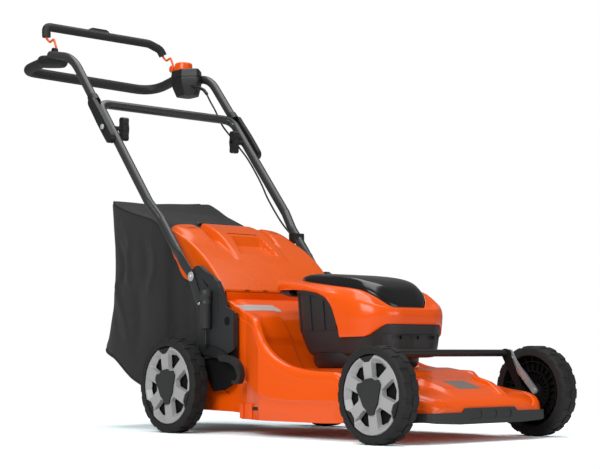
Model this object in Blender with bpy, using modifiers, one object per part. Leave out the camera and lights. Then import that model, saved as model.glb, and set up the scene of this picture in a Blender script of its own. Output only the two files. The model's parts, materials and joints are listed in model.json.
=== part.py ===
# Cordless lawn mower with a grass bag, standing on its four wheels
# Metres, +Z up, front towards -Y. Shapes are drawn from the middle of the wheelbase on the ground
import math

import bmesh
import bpy
from mathutils import Matrix, Vector

GAP = 0.0003

WHEELBASE = 0.720
FRONT_RADIUS = 0.1015
REAR_RADIUS = 0.1145
WHEEL_OUTER_X = 0.2690
WHEEL_WIDTH = 0.0466
LUG_HEIGHT = 0.0022
TREAD_STEPS = 28

DECK_WALL = 0.0030
PLATE_Z = 0.1547
BLADE_AXIS_Y = -0.062
BLADE_RADIUS = 0.210
BLADE_Z = 0.0552
BLADE_THICKNESS = 0.0030

FRONT_PIVOT = (0.0, -0.310, 0.1870)
REAR_PIVOT = (0.0, 0.310, 0.2005)
AXLE_TUBE = 0.0078
CRANK_X = 0.2138
CRANK_THICKNESS = 0.0052
STUB_RADIUS = 0.0060

BRACKET_X = 0.2085
BRACKET_THICKNESS = 0.0040
HANDLE_TUBE = 0.0110
ARM_X = 0.2258
LOWER_END_X = 0.2150
UPPER_ARM_X = 0.2350
FOLD_AXIS = (0.0, 0.678, 0.789)
ARM_DIRECTION = Vector((0.0, 0.6412, 0.7674))
BOLT_RADIUS = 0.0042

LOOP_TUBE = 0.0130
LOOP_END_Y = 1.100
BAIL_AXIS = (0.0, 0.9963, 1.0516)
BAIL_WIRE = 0.0030
BAIL_SLEEVE = 0.0110
BUTTON_CENTRE = (0.190, 0.943, 1.030)
BUTTON_RADIUS = 0.0180

FLAP_AXIS = (0.0, 0.250, 0.337)
FLAP_HALF_WIDTH = 0.185
FLAP_WALL = 0.0035
HINGE_ROD = 0.0030

LID_AXIS = (0.0, -0.2155, 0.2935)
HOOD_WALL = 0.0030
BAG_WALL = 0.0025
CABLE_RADIUS = 0.0025

ORANGE = ((0.85, 0.12, 0.015), 0.28, 0.0)
BLACK_PLASTIC = ((0.022, 0.022, 0.024), 0.45, 0.0)
GREY_PLASTIC = ((0.055, 0.056, 0.060), 0.50, 0.0)
GLOSS_BLACK = ((0.008, 0.008, 0.009), 0.12, 0.0)
RUBBER = ((0.018, 0.018, 0.019), 0.80, 0.0)
HUB_GREY = ((0.42, 0.43, 0.44), 0.35, 0.0)
STEEL = ((0.62, 0.62, 0.63), 0.28, 1.0)
DARK_STEEL = ((0.05, 0.05, 0.055), 0.40, 0.8)
COPPER = ((0.55, 0.24, 0.10), 0.35, 0.9)
CLOTH = ((0.035, 0.035, 0.038), 0.90, 0.0)
BOARD_GREEN = ((0.02, 0.16, 0.06), 0.45, 0.0)

frontCentre = Vector((0.0, -WHEELBASE / 2, FRONT_RADIUS))
rearCentre = Vector((0.0, WHEELBASE / 2, REAR_RADIUS))
foldAxis = Vector(FOLD_AXIS)
wheelInnerX = WHEEL_OUTER_X - WHEEL_WIDTH

for old in list(bpy.data.objects):
    bpy.data.objects.remove(old, do_unlink=True)


def newCollection(name, hidden=False):
    made = bpy.data.collections.new(name)
    made.hide_render = hidden
    bpy.context.scene.collection.children.link(made)
    return made


parts = newCollection("lawn_mower")
cutters = newCollection("cutters", hidden=True)


# Bodies: an empty on each joint's axis, all under one that centres the mower on its length

bodies = {}
pivots = {}


def addBody(name, pivot, parent):
    empty = bpy.data.objects.new("body_" + name, None)
    parts.objects.link(empty)
    empty.empty_display_size = 0.02
    pivots[name] = Vector(pivot)
    bodies[name] = empty
    if parent:
        empty.parent = bodies[parent]
        empty.location = pivots[name] - pivots[parent]
    return empty


frontEnd = -WHEELBASE / 2 - FRONT_RADIUS
rearEnd = LOOP_END_Y + LOOP_TUBE
addBody("chassis", (0, 0, 0), None).location = (0, -(frontEnd + rearEnd) / 2, 0)
addBody("front_axle", FRONT_PIVOT, "chassis")
addBody("rear_axle", REAR_PIVOT, "chassis")
addBody("upper_handle", FOLD_AXIS, "chassis")
addBody("bail", BAIL_AXIS, "upper_handle")
addBody("start_button", BUTTON_CENTRE, "upper_handle")
addBody("wing_knob_right", (-ARM_X, FOLD_AXIS[1], FOLD_AXIS[2]), "upper_handle")
addBody("wing_knob_left", (ARM_X, FOLD_AXIS[1], FOLD_AXIS[2]), "upper_handle")
addBody("rear_flap", FLAP_AXIS, "chassis")
addBody("battery_lid", LID_AXIS, "chassis")
addBody("battery", (0, -0.05, 0.24), "chassis")
addBody("blade", (0, BLADE_AXIS_Y, BLADE_Z), "chassis")
addBody("grass_bag", (0, 0.337, 0.30), "chassis")
addBody("assist_rod", (-0.2245, 0.2585, 0.30), "chassis")
for end, axle, centre in (("front", "front_axle", frontCentre), ("rear", "rear_axle", rearCentre)):
    for side, sign in (("right", -1), ("left", 1)):
        addBody("wheel_" + end + "_" + side, (sign * WHEEL_OUTER_X, centre.y, centre.z), axle)


# Tools

def material(name, finish):
    colour, roughness, metallic = finish
    made = bpy.data.materials.new(name)
    made.use_nodes = True
    shader = made.node_tree.nodes["Principled BSDF"]
    shader.inputs["Base Color"].default_value = (*colour, 1.0)
    shader.inputs["Roughness"].default_value = roughness
    shader.inputs["Metallic"].default_value = metallic
    made.diffuse_color = (*colour, 1.0)
    return made


def place(obj, body, finish, location=(0, 0, 0)):
    # A helper has no finish: it goes to the cutters and is drawn as wire
    if finish is None:
        cutters.objects.link(obj)
        obj.hide_render = True
        obj.display_type = "WIRE"
    else:
        parts.objects.link(obj)
        obj.data.materials.append(material(obj.name, finish))
    obj.parent = bodies[body]
    obj.location = Vector(location) - pivots[body]
    return obj


def meshObject(name, bm, body, finish, location=(0, 0, 0), smooth=True):
    bmesh.ops.recalc_face_normals(bm, faces=bm.faces)
    mesh = bpy.data.meshes.new(name)
    bm.to_mesh(mesh)
    bm.free()
    if smooth:
        mesh.shade_smooth()
        mesh.set_sharp_from_angle(angle=math.radians(35))
    return place(bpy.data.objects.new(name, mesh), body, finish, location)


def box(name, low, high, body, finish, bevel=0.0):
    low = Vector(low)
    high = Vector(high)
    bm = bmesh.new()
    bmesh.ops.create_cube(bm, size=1.0)
    bmesh.ops.scale(bm, vec=high - low, verts=bm.verts)
    obj = meshObject(name, bm, body, finish, (low + high) / 2, smooth=False)
    if bevel:
        rounded = obj.modifiers.new("Bevel", "BEVEL")
        rounded.width = bevel
        rounded.segments = 2
    return obj


def rod(name, start, end, radius, body, finish, segments=16):
    # A straight cylinder between two points
    start = Vector(start)
    end = Vector(end)
    along = end - start
    bm = bmesh.new()
    bmesh.ops.create_cone(
        bm, cap_ends=True, segments=segments, radius1=radius, radius2=radius, depth=along.length
    )
    turn = Vector((0, 0, 1)).rotation_difference(along.normalized()).to_matrix()
    bmesh.ops.rotate(bm, cent=(0, 0, 0), matrix=turn, verts=bm.verts)
    return meshObject(name, bm, body, finish, (start + end) / 2)


def turned(name, profile, centre, facing, body, finish, steps=24):
    # The profile is (radius, height) pairs; it closes on itself unless both ends are on the axis
    area = sum(
        a[0] * b[1] - b[0] * a[1] for a, b in zip(profile, profile[1:] + profile[:1])
    )
    points = profile if area < 0 else profile[::-1]
    onAxis = points[0][0] == 0 and points[-1][0] == 0
    edges = [(i, i + 1) for i in range(len(points) - 1)]
    if not onAxis:
        edges.append((len(points) - 1, 0))
    mesh = bpy.data.meshes.new(name)
    mesh.from_pydata([(radius, 0, height) for radius, height in points], edges, [])
    obj = bpy.data.objects.new(name, mesh)
    screw = obj.modifiers.new("Screw", "SCREW")
    screw.steps = steps
    screw.render_steps = steps
    screw.use_merge_vertices = True
    screw.merge_threshold = 0.00001
    screw.use_smooth_shade = False
    place(obj, body, finish, centre)
    obj.rotation_euler = {
        "z": (0, 0, 0), "x": (0, math.pi / 2, 0), "-x": (0, -math.pi / 2, 0), "-z": (math.pi, 0, 0)
    }[facing]
    return obj


def arced(corners, radius, closed=False, steps=3):
    # The corners rounded off; radius is one value or one for each corner
    made = []
    count = len(corners)
    for index, corner in enumerate(corners):
        here = Vector(corner)
        size = radius[index] if isinstance(radius, (list, tuple)) else radius
        if size == 0 or (not closed and index in (0, count - 1)):
            made.append(here)
            continue
        before = Vector(corners[index - 1]) - here
        after = Vector(corners[(index + 1) % count]) - here
        opening = before.angle(after)
        reach = min(size / math.tan(opening / 2), before.length * 0.49, after.length * 0.49)
        start = here + before.normalized() * reach
        end = here + after.normalized() * reach
        for step in range(steps + 1):
            t = step / steps
            made.append(start * (1 - t) ** 2 + here * 2 * t * (1 - t) + end * t ** 2)
    return made


def circle(centre, radius, count=14):
    return [
        (centre[0] + radius * math.cos(a), centre[1] + radius * math.sin(a))
        for a in (2 * math.pi * i / count for i in range(count))
    ]


def strip(centreline, widths):
    # The outline of a flat bar along a line, with a round nose at each end
    points = [Vector(p) for p in centreline]
    left = []
    right = []
    for i, point in enumerate(points):
        ahead = points[min(i + 1, len(points) - 1)] - points[max(i - 1, 0)]
        side = Vector((-ahead.y, ahead.x)).normalized() * widths[i] / 2
        left.append(point + side)
        right.append(point - side)
    noses = []
    for point, inner, width in ((points[-1], points[-2], widths[-1]), (points[0], points[1], widths[0])):
        out = (point - inner).normalized()
        side = Vector((-out.y, out.x))
        noses.append(
            [
                point + (side * math.cos(a) + out * math.sin(a)) * width / 2
                for a in (math.pi * k / 5 for k in range(1, 5))
            ]
        )
    return left + noses[0] + right[::-1] + noses[1]


def plate(name, outline, thickness, middle, facing, body, finish, holes=()):
    # A flat outline: for "x" in (y, z), for "y" in (x, z), for "z" in (x, y)
    curve = bpy.data.curves.new(name, "CURVE")
    curve.dimensions = "2D"
    curve.fill_mode = "BOTH"
    curve.extrude = thickness / 2
    for loop in (outline, *holes):
        spline = curve.splines.new("POLY")
        spline.points.add(len(loop) - 1)
        spline.use_cyclic_u = True
        for point, flat in zip(spline.points, loop):
            point.co = (flat[0], flat[1], 0, 1)
    obj = bpy.data.objects.new(name, curve)
    turns = {"x": (math.pi / 2, 0, math.pi / 2), "y": (math.pi / 2, 0, 0), "z": (0, 0, 0)}
    offset = {"x": (middle, 0, 0), "y": (0, middle, 0), "z": (0, 0, middle)}
    place(obj, body, finish, offset[facing])
    obj.rotation_euler = turns[facing]
    return solid(obj)


def tube(name, points, radius, body, finish, sides=3):
    curve = bpy.data.curves.new(name, "CURVE")
    curve.dimensions = "3D"
    curve.bevel_depth = radius
    curve.bevel_resolution = sides
    curve.use_fill_caps = True
    spline = curve.splines.new("POLY")
    spline.points.add(len(points) - 1)
    for point, where in zip(spline.points, points):
        point.co = (*where, 1)
    return solid(place(bpy.data.objects.new(name, curve), body, finish))


def bore(name, points, radius, body, sides=3):
    # The cutter for a hole that holds a tube: wider and longer by the gap
    first, second = Vector(points[0]), Vector(points[1])
    last, before = Vector(points[-1]), Vector(points[-2])
    route = [first + (first - second).normalized() * GAP, *points[1:-1]]
    route.append(last + (last - before).normalized() * GAP)
    return tube(name, route, radius + GAP, body, None, sides)


def solid(obj):
    # A curve becomes a closed mesh, which a Boolean or a Bevel can work on
    bpy.context.view_layer.update()
    graph = bpy.context.evaluated_depsgraph_get()
    mesh = bpy.data.meshes.new_from_object(obj.evaluated_get(graph))
    bm = bmesh.new()
    bm.from_mesh(mesh)
    bmesh.ops.remove_doubles(bm, verts=bm.verts, dist=0.00001)
    bmesh.ops.recalc_face_normals(bm, faces=bm.faces)
    bm.to_mesh(mesh)
    bm.free()
    mesh.shade_smooth()
    mesh.set_sharp_from_angle(angle=math.radians(35))
    curve = obj.data
    name = obj.name
    made = bpy.data.objects.new(name + "_mesh", mesh)
    made.parent = obj.parent
    made.location = obj.location
    made.rotation_euler = obj.rotation_euler
    made.hide_render = obj.hide_render
    made.display_type = obj.display_type
    for group in obj.users_collection:
        group.objects.link(made)
    bpy.data.objects.remove(obj, do_unlink=True)
    bpy.data.curves.remove(curve)
    made.name = name
    return made


def loft(name, rings, body, finish, caps=(True, True), wall=0.0, smooth=True):
    # Closed rings of equal point counts, joined in order; wall makes a shell of it, inwards
    bm = bmesh.new()
    rows = [[bm.verts.new(point) for point in ring] for ring in rings]
    count = len(rows[0])
    for low, high in zip(rows, rows[1:]):
        for i in range(count):
            k = (i + 1) % count
            bm.faces.new((low[i], low[k], high[k], high[i]))
    if caps[0]:
        bm.faces.new(rows[0][::-1])
    if caps[1]:
        bm.faces.new(rows[-1])
    obj = meshObject(name, bm, body, finish, smooth=smooth)
    if wall:
        shell = obj.modifiers.new("Solidify", "SOLIDIFY")
        shell.thickness = wall
        shell.offset = -1
        shell.use_even_offset = True
    return obj


def combine(obj, helper, operation):
    change = obj.modifiers.new(helper.name, "BOOLEAN")
    change.object = helper
    change.operation = operation
    change.solver = "EXACT"


def cut(obj, *helpers):
    for helper in helpers:
        combine(obj, helper, "DIFFERENCE")


def join(obj, *helpers):
    for helper in helpers:
        combine(obj, helper, "UNION")


def between(table, value):
    # A value read off a short table of (position, value) rows, with straight lines between them
    if value <= table[0][0]:
        return table[0][1]
    for (a, va), (b, vb) in zip(table, table[1:]):
        if value <= b:
            return va + (vb - va) * (value - a) / (b - a)
    return table[-1][1]


def plan(halfWidth, front, rear, radius, count=7):
    # Points round a rounded rectangle seen from above, starting at the front right corner
    made = []
    corners = (
        (-halfWidth + radius, front + radius, 180),
        (halfWidth - radius, front + radius, 270),
        (halfWidth - radius, rear - radius, 0),
        (-halfWidth + radius, rear - radius, 90),
    )
    for x, y, start in corners:
        for k in range(count):
            a = math.radians(start + 90 * k / (count - 1))
            made.append((x + radius * math.cos(a), y + radius * math.sin(a)))
    return made


# Deck: a shell lofted along its length, open below and behind

DECK_STATIONS = (
    # y, half width, bottom, wall crease, rim, inside of the rim, middle
    (-0.4410, 0.158, 0.0460, 0.0560, 0.0740, 0.0745, 0.0760),
    (-0.4300, 0.178, 0.0450, 0.0580, 0.0840, 0.0860, 0.0890),
    (-0.4120, 0.192, 0.0440, 0.0600, 0.0930, 0.0960, 0.1010),
    (-0.3820, 0.199, 0.0430, 0.0640, 0.1010, 0.1050, 0.1120),
    (-0.3050, 0.200, 0.0420, 0.0700, 0.1100, 0.1150, 0.1250),
    (-0.2890, 0.201, 0.0410, 0.0740, 0.1120, 0.1180, 0.1430),
    (-0.2500, 0.206, 0.0400, 0.0800, 0.1190, 0.1250, 0.1480),
    (-0.2200, 0.219, 0.0390, 0.0840, 0.1330, 0.1360, 0.1520),
    (-0.1950, 0.225, 0.0380, 0.0850, 0.1480, 0.1460, PLATE_Z),
    (-0.1240, 0.225, 0.0370, 0.0850, 0.1485, 0.1470, PLATE_Z),
    (-0.0560, 0.225, 0.0370, 0.0850, 0.1580, 0.1490, PLATE_Z),
    (0.0000, 0.225, 0.0370, 0.0860, 0.1760, 0.1520, PLATE_Z),
    (0.0430, 0.225, 0.0370, 0.0880, 0.2035, 0.1580, PLATE_Z),
    (0.0610, 0.223, 0.0370, 0.0910, 0.2230, 0.1660, PLATE_Z),
    (0.0770, 0.219, 0.0370, 0.0940, 0.2450, 0.1800, 0.1700),
    (0.0980, 0.213, 0.0370, 0.0990, 0.2780, 0.2080, 0.2050),
    (0.1250, 0.204, 0.0370, 0.1050, 0.2830, 0.2540, 0.2550),
    (0.1550, 0.196, 0.0370, 0.1100, 0.2860, 0.2890, 0.2910),
    (0.1650, 0.194, 0.0370, 0.1110, 0.2900, 0.2940, 0.2950),
    (0.1710, 0.193, 0.0510, 0.1115, 0.2925, 0.2970, 0.2980),
    (0.1900, 0.191, 0.0520, 0.1130, 0.3000, 0.3060, 0.3060),
    (0.2250, 0.190, 0.0530, 0.1150, 0.3170, 0.3210, 0.3210),
    (0.3200, 0.190, 0.0550, 0.1180, 0.3180, 0.3220, 0.3220),
)


def deckSection(y, half, bottom, crease, rim, inner, middle):
    lip = min(0.012, (rim - crease) * 0.4)
    side = [
        (half, bottom),
        (half, crease),
        (half - 0.002, crease + 0.006),
        (half - 0.002, rim - lip),
        (half - 0.005, rim - lip * 0.35),
        (half - 0.012, rim),
        (half - 0.026, rim),
        (half - 0.044, inner),
        (0.120, middle),
    ]
    right = [(-x, y, z) for x, z in side]
    left = [(x, y, z) for x, z in reversed(side)]
    return right + [(-0.060, y, middle), (0.060, y, middle)] + left


def makeDeck():
    bm = bmesh.new()
    rows = [[bm.verts.new(point) for point in deckSection(*station)] for station in DECK_STATIONS]
    for near, far in zip(rows, rows[1:]):
        for i in range(len(near) - 1):
            bm.faces.new((near[i], near[i + 1], far[i + 1], far[i]))
    bm.faces.new(rows[0])
    bmesh.ops.recalc_face_normals(bm, faces=bm.faces)
    top = max(bm.faces, key=lambda face: face.calc_center_median().z)
    if top.normal.z < 0:
        bmesh.ops.reverse_faces(bm, faces=bm.faces)
    mesh = bpy.data.meshes.new("deck")
    bm.to_mesh(mesh)
    bm.free()
    mesh.shade_smooth()
    mesh.set_sharp_from_angle(angle=math.radians(35))
    deck = place(bpy.data.objects.new("deck", mesh), "chassis", ORANGE)
    shell = deck.modifiers.new("Solidify", "SOLIDIFY")
    shell.thickness = DECK_WALL
    shell.offset = -1
    shell.use_even_offset = True

    # The floor of the discharge tunnel climbs to the bag's mouth
    floor = plate(
        "tunnel_floor",
        [(0.165, 0.058), (0.318, 0.150), (0.318, 0.154), (0.163, 0.061)],
        0.376, 0.0, "x", "chassis", None,
    )
    join(deck, floor)

    # Lugs for the flap's hinge rod, side supports for the front cross bar
    for sign in (-1, 1):
        lug = plate(
            "hinge_lug",
            [(0.2450, 0.3170), (0.2550, 0.3170), (0.2560, 0.3380), (0.2535, 0.3430),
             (0.2465, 0.3430), (0.2440, 0.3380)],
            0.010, sign * 0.170, "x", "chassis", None,
        )
        support = plate(
            "axle_support",
            [(-0.332, 0.080), (-0.288, 0.080), (-0.297, 0.190), (-0.302, 0.198),
             (-0.318, 0.198), (-0.323, 0.190)],
            0.008, sign * 0.2015, "x", "chassis", None,
        )
        join(deck, lug, support)
    cut(
        deck,
        rod("rod_hole", (-0.2, *FLAP_AXIS[1:]), (0.2, *FLAP_AXIS[1:]), HINGE_ROD + GAP, "chassis", None),
        rod("bar_hole", (-0.21, *FRONT_PIVOT[1:]), (0.21, *FRONT_PIVOT[1:]), AXLE_TUBE + GAP, "chassis", None),
        rod("shaft_hole", (0, BLADE_AXIS_Y, 0.12), (0, BLADE_AXIS_Y, 0.2), 0.032, "chassis", None),
    )


def makeBumper():
    nose = [(0.187, -0.4195), (0.1795, -0.4318), (0.159, -0.4413)]
    inner = [(-x, y) for x, y in nose] + nose[::-1]
    outline = inner + [(x + 0.003, y - 0.0045) for x, y in nose] + [
        (-x - 0.003, y - 0.0045) for x, y in reversed(nose)
    ]
    bumper = plate("front_bumper", outline, 0.0240, 0.0540, "z", "chassis", GREY_PLASTIC)
    raised = plate(
        "bumper_middle",
        [(-0.085, 0.040), (0.085, 0.040), (0.078, 0.062), (0.072, 0.075), (-0.072, 0.075), (-0.078, 0.062)],
        0.0045, -0.4438, "y", "chassis", None,
    )
    join(bumper, raised)
    for x in (-0.046, 0, 0.046):
        cut(bumper, box("bumper_recess", (x - 0.019, -0.450, 0.047), (x + 0.019, -0.4448, 0.070), "chassis", None))


# Motor, blade and hood

def makeMotor():
    centre = (0, BLADE_AXIS_Y, 0)
    turned(
        "motor_base",
        [(0.122, 0.1895), (0.122, 0.155), (0.0163, 0.155), (0.0163, 0.169), (0.0125, 0.169),
         (0.0125, 0.1977), (0.0163, 0.1977), (0.0163, 0.2095), (0.0197, 0.2095), (0.0197, 0.1777),
         (0.025, 0.1777), (0.025, 0.159), (0.1145, 0.159), (0.1145, 0.1895)],
        centre, "z", "chassis", BLACK_PLASTIC, 24,
    )
    for name, low in (("lower_bearing", 0.1587), ("upper_bearing", 0.1980)):
        turned(
            name, [(0.016, low + 0.010), (0.016, low), (0.0083, low), (0.0083, low + 0.010)],
            centre, "z", "chassis", STEEL, 16,
        )
    teeth = 12
    outline = []
    for tooth in range(teeth):
        start = 2 * math.pi * tooth / teeth
        for share, radius in ((0.0, 0.0495), (0.6, 0.0495), (0.65, 0.038), (0.95, 0.038)):
            a = start + share * 2 * math.pi / teeth
            outline.append((radius * math.cos(a), BLADE_AXIS_Y + radius * math.sin(a)))
    plate(
        "motor_stator", outline, 0.030, 0.193, "z", "chassis", COPPER,
        holes=[circle((0, BLADE_AXIS_Y), 0.0204, 24)],
    )
    turned(
        "motor_rotor",
        [(0, 0.216), (0.056, 0.216), (0.056, 0.176), (0.0525, 0.176), (0.0525, 0.212), (0.008, 0.212),
         (0.008, 0.0588), (0.0053, 0.0588), (0.0053, 0.0785), (0, 0.0785)],
        centre, "z", "blade", STEEL, 24,
    )
    turned(
        "blade_holder",
        [(0.0083, 0.092), (0.016, 0.092), (0.018, 0.070), (0.034, 0.066), (0.034, 0.0585), (0.0083, 0.0585)],
        centre, "z", "blade", BLACK_PLASTIC, 16,
    )


def makeBlade():
    half = BLADE_RADIUS
    outline = [
        (-half, -0.016), (-half + 0.012, -0.024), (-0.120, -0.024), (-0.090, -0.020), (0.090, -0.020),
        (0.120, -0.026), (half - 0.030, -0.026), (half, -0.014), (half, 0.016), (half - 0.012, 0.024),
        (0.120, 0.024), (0.090, 0.020), (-0.090, 0.020), (-0.120, 0.026), (-half + 0.030, 0.026),
        (-half, 0.014),
    ]
    reach = half / math.hypot(half, 0.016)
    outline = [(x * reach, BLADE_AXIS_Y + y * reach) for x, y in outline]
    plate(
        "blade", outline, BLADE_THICKNESS, BLADE_Z + BLADE_THICKNESS / 2, "z", "blade", STEEL,
        holes=[circle((0, BLADE_AXIS_Y), 0.0053, 16)],
    )
    turned(
        "blade_bolt",
        [(0, 0.074), (0.005, 0.074), (0.005, BLADE_Z - GAP), (0.017, BLADE_Z - GAP), (0.017, 0.0525),
         (0.0095, 0.0520), (0.0095, 0.0450), (0, 0.0450)],
        (0, BLADE_AXIS_Y, 0), "z", "blade", STEEL, 16,
    )


SEAM = (
    (-0.185, 0.252), (-0.130, 0.2260), (-0.108, 0.2255), (-0.097, 0.290), (-0.080, 0.312),
    (-0.040, 0.326), (0.020, 0.333), (0.150, 0.340),
)
LID_EDGE = ((-0.2155, 0.2925), (-0.184, 0.320), (-0.145, 0.333), (-0.050, 0.345), (0.020, 0.355), (0.100, 0.358))
LID_CROWN = ((-0.207, 0.330), (-0.1765, 0.351), (-0.100, 0.365), (0.000, 0.374), (0.090, 0.376))


def makeHood():
    def ring(half, front, rear, radius, height):
        return [(x, y, height(x, y)) for x, y in plan(half, front, rear, radius)]

    body = loft(
        "hood_body",
        [
            ring(0.119, -0.216, 0.078, 0.074, lambda x, y: 0.1898),
            ring(0.125, -0.225, 0.085, 0.080, lambda x, y: 0.2060),
            ring(0.125, -0.225, 0.085, 0.080, lambda x, y: between(SEAM, y)),
        ],
        "chassis", BLACK_PLASTIC, caps=(False, False), wall=HOOD_WALL,
    )
    shelf = box("hood_shelf", (-0.1235, -0.165, 0.232), (0.1235, 0.0835, 0.236), "chassis", None)
    join(body, shelf)

    def visor(y):
        return y + max(0.0, y - 0.020) * 0.75

    def shellRing(half, front, rear, radius, height):
        return [(x, visor(y), height(x, y)) for x, y in plan(half, front, rear, radius)]

    def shoulder(y):
        return between(((-0.225, 0.285), (-0.150, 0.312), (-0.050, 0.334), (0.100, 0.352)), y)

    def edge(drop, back=0.0):
        return lambda x, y: between(LID_EDGE, y - back) - drop

    def crown(drop):
        return lambda x, y: between(LID_CROWN, y) - drop

    loft(
        "hood_shell",
        [
            shellRing(0.1275, -0.2275, 0.0875, 0.081, lambda x, y: between(SEAM, y) + GAP),
            shellRing(0.1300, -0.2300, 0.0880, 0.082, lambda x, y: between(SEAM, y) * 0.45 + shoulder(y) * 0.53 + 0.002),
            shellRing(0.1240, -0.2260, 0.0840, 0.078, lambda x, y: shoulder(y)),
            shellRing(0.1060, -0.2230, 0.0800, 0.066, edge(0.0030)),
            ring(0.0925, -0.2185, 0.0945, 0.0575, edge(0.0020)),
            ring(0.0920, -0.2180, 0.0940, 0.0570, edge(0.0118)),
            ring(0.0800, -0.2050, 0.0810, 0.0450, edge(0.0140, 0.0130)),
        ],
        "chassis", ORANGE, caps=(False, False), wall=HOOD_WALL,
    )
    loft(
        "battery_lid",
        [
            ring(0.0900, -0.2155, 0.0920, 0.055, edge(0.0116)),
            ring(0.0895, -0.2152, 0.0915, 0.055, edge(-0.0060)),
            ring(0.0820, -0.2100, 0.0860, 0.050, crown(0.0080)),
            ring(0.0640, -0.1950, 0.0740, 0.040, crown(0.0030)),
            ring(0.0400, -0.1700, 0.0560, 0.025, crown(0.0)),
        ],
        "battery_lid", GLOSS_BLACK, caps=(False, True), wall=HOOD_WALL,
    )
    box("battery_pack", (-0.060, -0.135, 0.2363), (0.060, 0.045, 0.318), "battery", BLACK_PLASTIC, 0.004)
    box("control_board", (-0.045, -0.162, 0.2363), (0.045, -0.140, 0.2460), "chassis", BOARD_GREEN)


# Rear flap and its hinge

FLAP_PROFILE = (
    # Top line (y, z) and the lower edge of the side skirt below it
    ((0.2385, 0.3446), (0.2395, 0.3400)),
    ((0.2640, 0.3700), (0.2600, 0.3445)),
    ((0.2928, 0.3981), (0.2870, 0.3480)),
    ((0.3112, 0.4211), (0.3150, 0.3540)),
    ((0.3422, 0.4452), (0.3540, 0.3640)),
    ((0.3992, 0.4788), (0.3980, 0.3780)),
    ((0.4400, 0.4990), (0.4320, 0.4200)),
    ((0.4560, 0.5055), (0.4465, 0.4360)),
    ((0.4700, 0.5100), (0.4600, 0.4600)),
)
FLAP_COLUMNS = (0.0, 0.060, 0.072, 0.088, 0.104, 0.118, 0.150, 0.172, 0.1845)


def makeFlap():
    # Three humps rise towards the rear edge: one in the middle, one on each side
    def hump(x, row):
        rise = {6: 0.35, 7: 0.85, 8: 1.0}.get(row, 0.0)
        middle = between(((0.060, 1.0), (0.072, 0.9), (0.088, 0.0), (0.104, 0.0), (0.118, 0.7), (0.1845, 0.6)), x)
        return 0.0150 * rise * middle

    columns = [-x for x in reversed(FLAP_COLUMNS[1:])] + list(FLAP_COLUMNS)
    bm = bmesh.new()
    rows = []
    for row, (top, foot) in enumerate(FLAP_PROFILE):
        line = [(x, top[0], top[1] + hump(abs(x), row)) for x in columns]
        skirt = (FLAP_HALF_WIDTH + 0.001, foot[0], foot[1])
        line = [(-skirt[0], skirt[1], skirt[2])] + line + [skirt]
        rows.append([bm.verts.new(point) for point in line])
    for low, high in zip(rows, rows[1:]):
        for i in range(len(low) - 1):
            bm.faces.new((low[i], low[i + 1], high[i + 1], high[i]))
    bmesh.ops.recalc_face_normals(bm, faces=bm.faces)
    highest = max(bm.faces, key=lambda face: face.calc_center_median().z)
    if highest.normal.z < 0:
        bmesh.ops.reverse_faces(bm, faces=bm.faces)
    mesh = bpy.data.meshes.new("rear_flap")
    bm.to_mesh(mesh)
    bm.free()
    mesh.shade_smooth()
    mesh.set_sharp_from_angle(angle=math.radians(30))
    flap = place(bpy.data.objects.new("rear_flap", mesh), "rear_flap", ORANGE)
    shell = flap.modifiers.new("Solidify", "SOLIDIFY")
    shell.thickness = FLAP_WALL
    shell.offset = -1
    shell.use_even_offset = True
    hole = circle(FLAP_AXIS[1:], HINGE_ROD + GAP, 16)
    for x in (-0.120, 0.120):
        eye = plate(
            "flap_eye",
            [(0.2435, 0.3330), (0.2500, 0.3295), (0.2565, 0.3330), (0.2640, 0.3500), (0.2780, 0.3800),
             (0.2660, 0.3685), (0.2470, 0.3495), (0.2425, 0.3400)],
            0.012, x, "x", "rear_flap", None, holes=[hole],
        )
        join(flap, eye)
    rod("flap_hinge_rod", (-0.178, *FLAP_AXIS[1:]), (0.178, *FLAP_AXIS[1:]), HINGE_ROD, "chassis", STEEL, 16)


def makeFlapSpring():
    turns = 5
    perTurn = 8
    pitch = 0.0042
    wire = 0.0009
    coil = HINGE_ROD + GAP + wire + 0.0003
    points = []
    for step in range(turns * perTurn + 1):
        a = 2 * math.pi * step / perTurn
        x = (step / perTurn - turns / 2) * pitch
        points.append(Vector((x, FLAP_AXIS[1] + coil * math.sin(a), FLAP_AXIS[2] + coil * math.cos(a))))
    leg = Vector((0, 0.013, -0.003))
    points.insert(0, points[0] + Vector((-0.0005, 0, -0.0010)) + leg)
    points.append(points[-1] + Vector((0.0005, 0, -0.0010)) + leg)
    tube("flap_spring", points, wire, "chassis", STEEL, sides=1)
    print("least gap between two curls of the flap spring:", round(pitch - 2 * wire, 5))


# Axles, height lever and wheels

def makeAxles():
    crankMiddle = CRANK_X + CRANK_THICKNESS / 2
    for name, pivot, centre in (
        ("front_axle", FRONT_PIVOT, frontCentre), ("rear_axle", REAR_PIVOT, rearCentre)
    ):
        barPlace = Vector(pivot) if name == "front_axle" else centre
        finish = BLACK_PLASTIC if name == "front_axle" else DARK_STEEL
        axle = rod(
            name, (-crankMiddle, *barPlace.yz), (crankMiddle, *barPlace.yz), AXLE_TUBE, name, finish
        )
        for sign in (-1, 1):
            crank = plate(
                "crank", strip([pivot[1:], centre.yz], (0.018, 0.016)), CRANK_THICKNESS,
                sign * crankMiddle, "x", name, None,
            )
            stub = rod(
                "stub", (sign * (CRANK_X + 0.001), *centre.yz), (sign * 0.2590, *centre.yz),
                STUB_RADIUS, name, None, 16,
            )
            join(axle, crank, stub)
            if name == "rear_axle":
                pin = rod(
                    "pivot_pin", (sign * 0.2045, *pivot[1:]), (sign * (CRANK_X + 0.001), *pivot[1:]),
                    0.0070, name, None, 16,
                )
                join(axle, pin)


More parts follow.
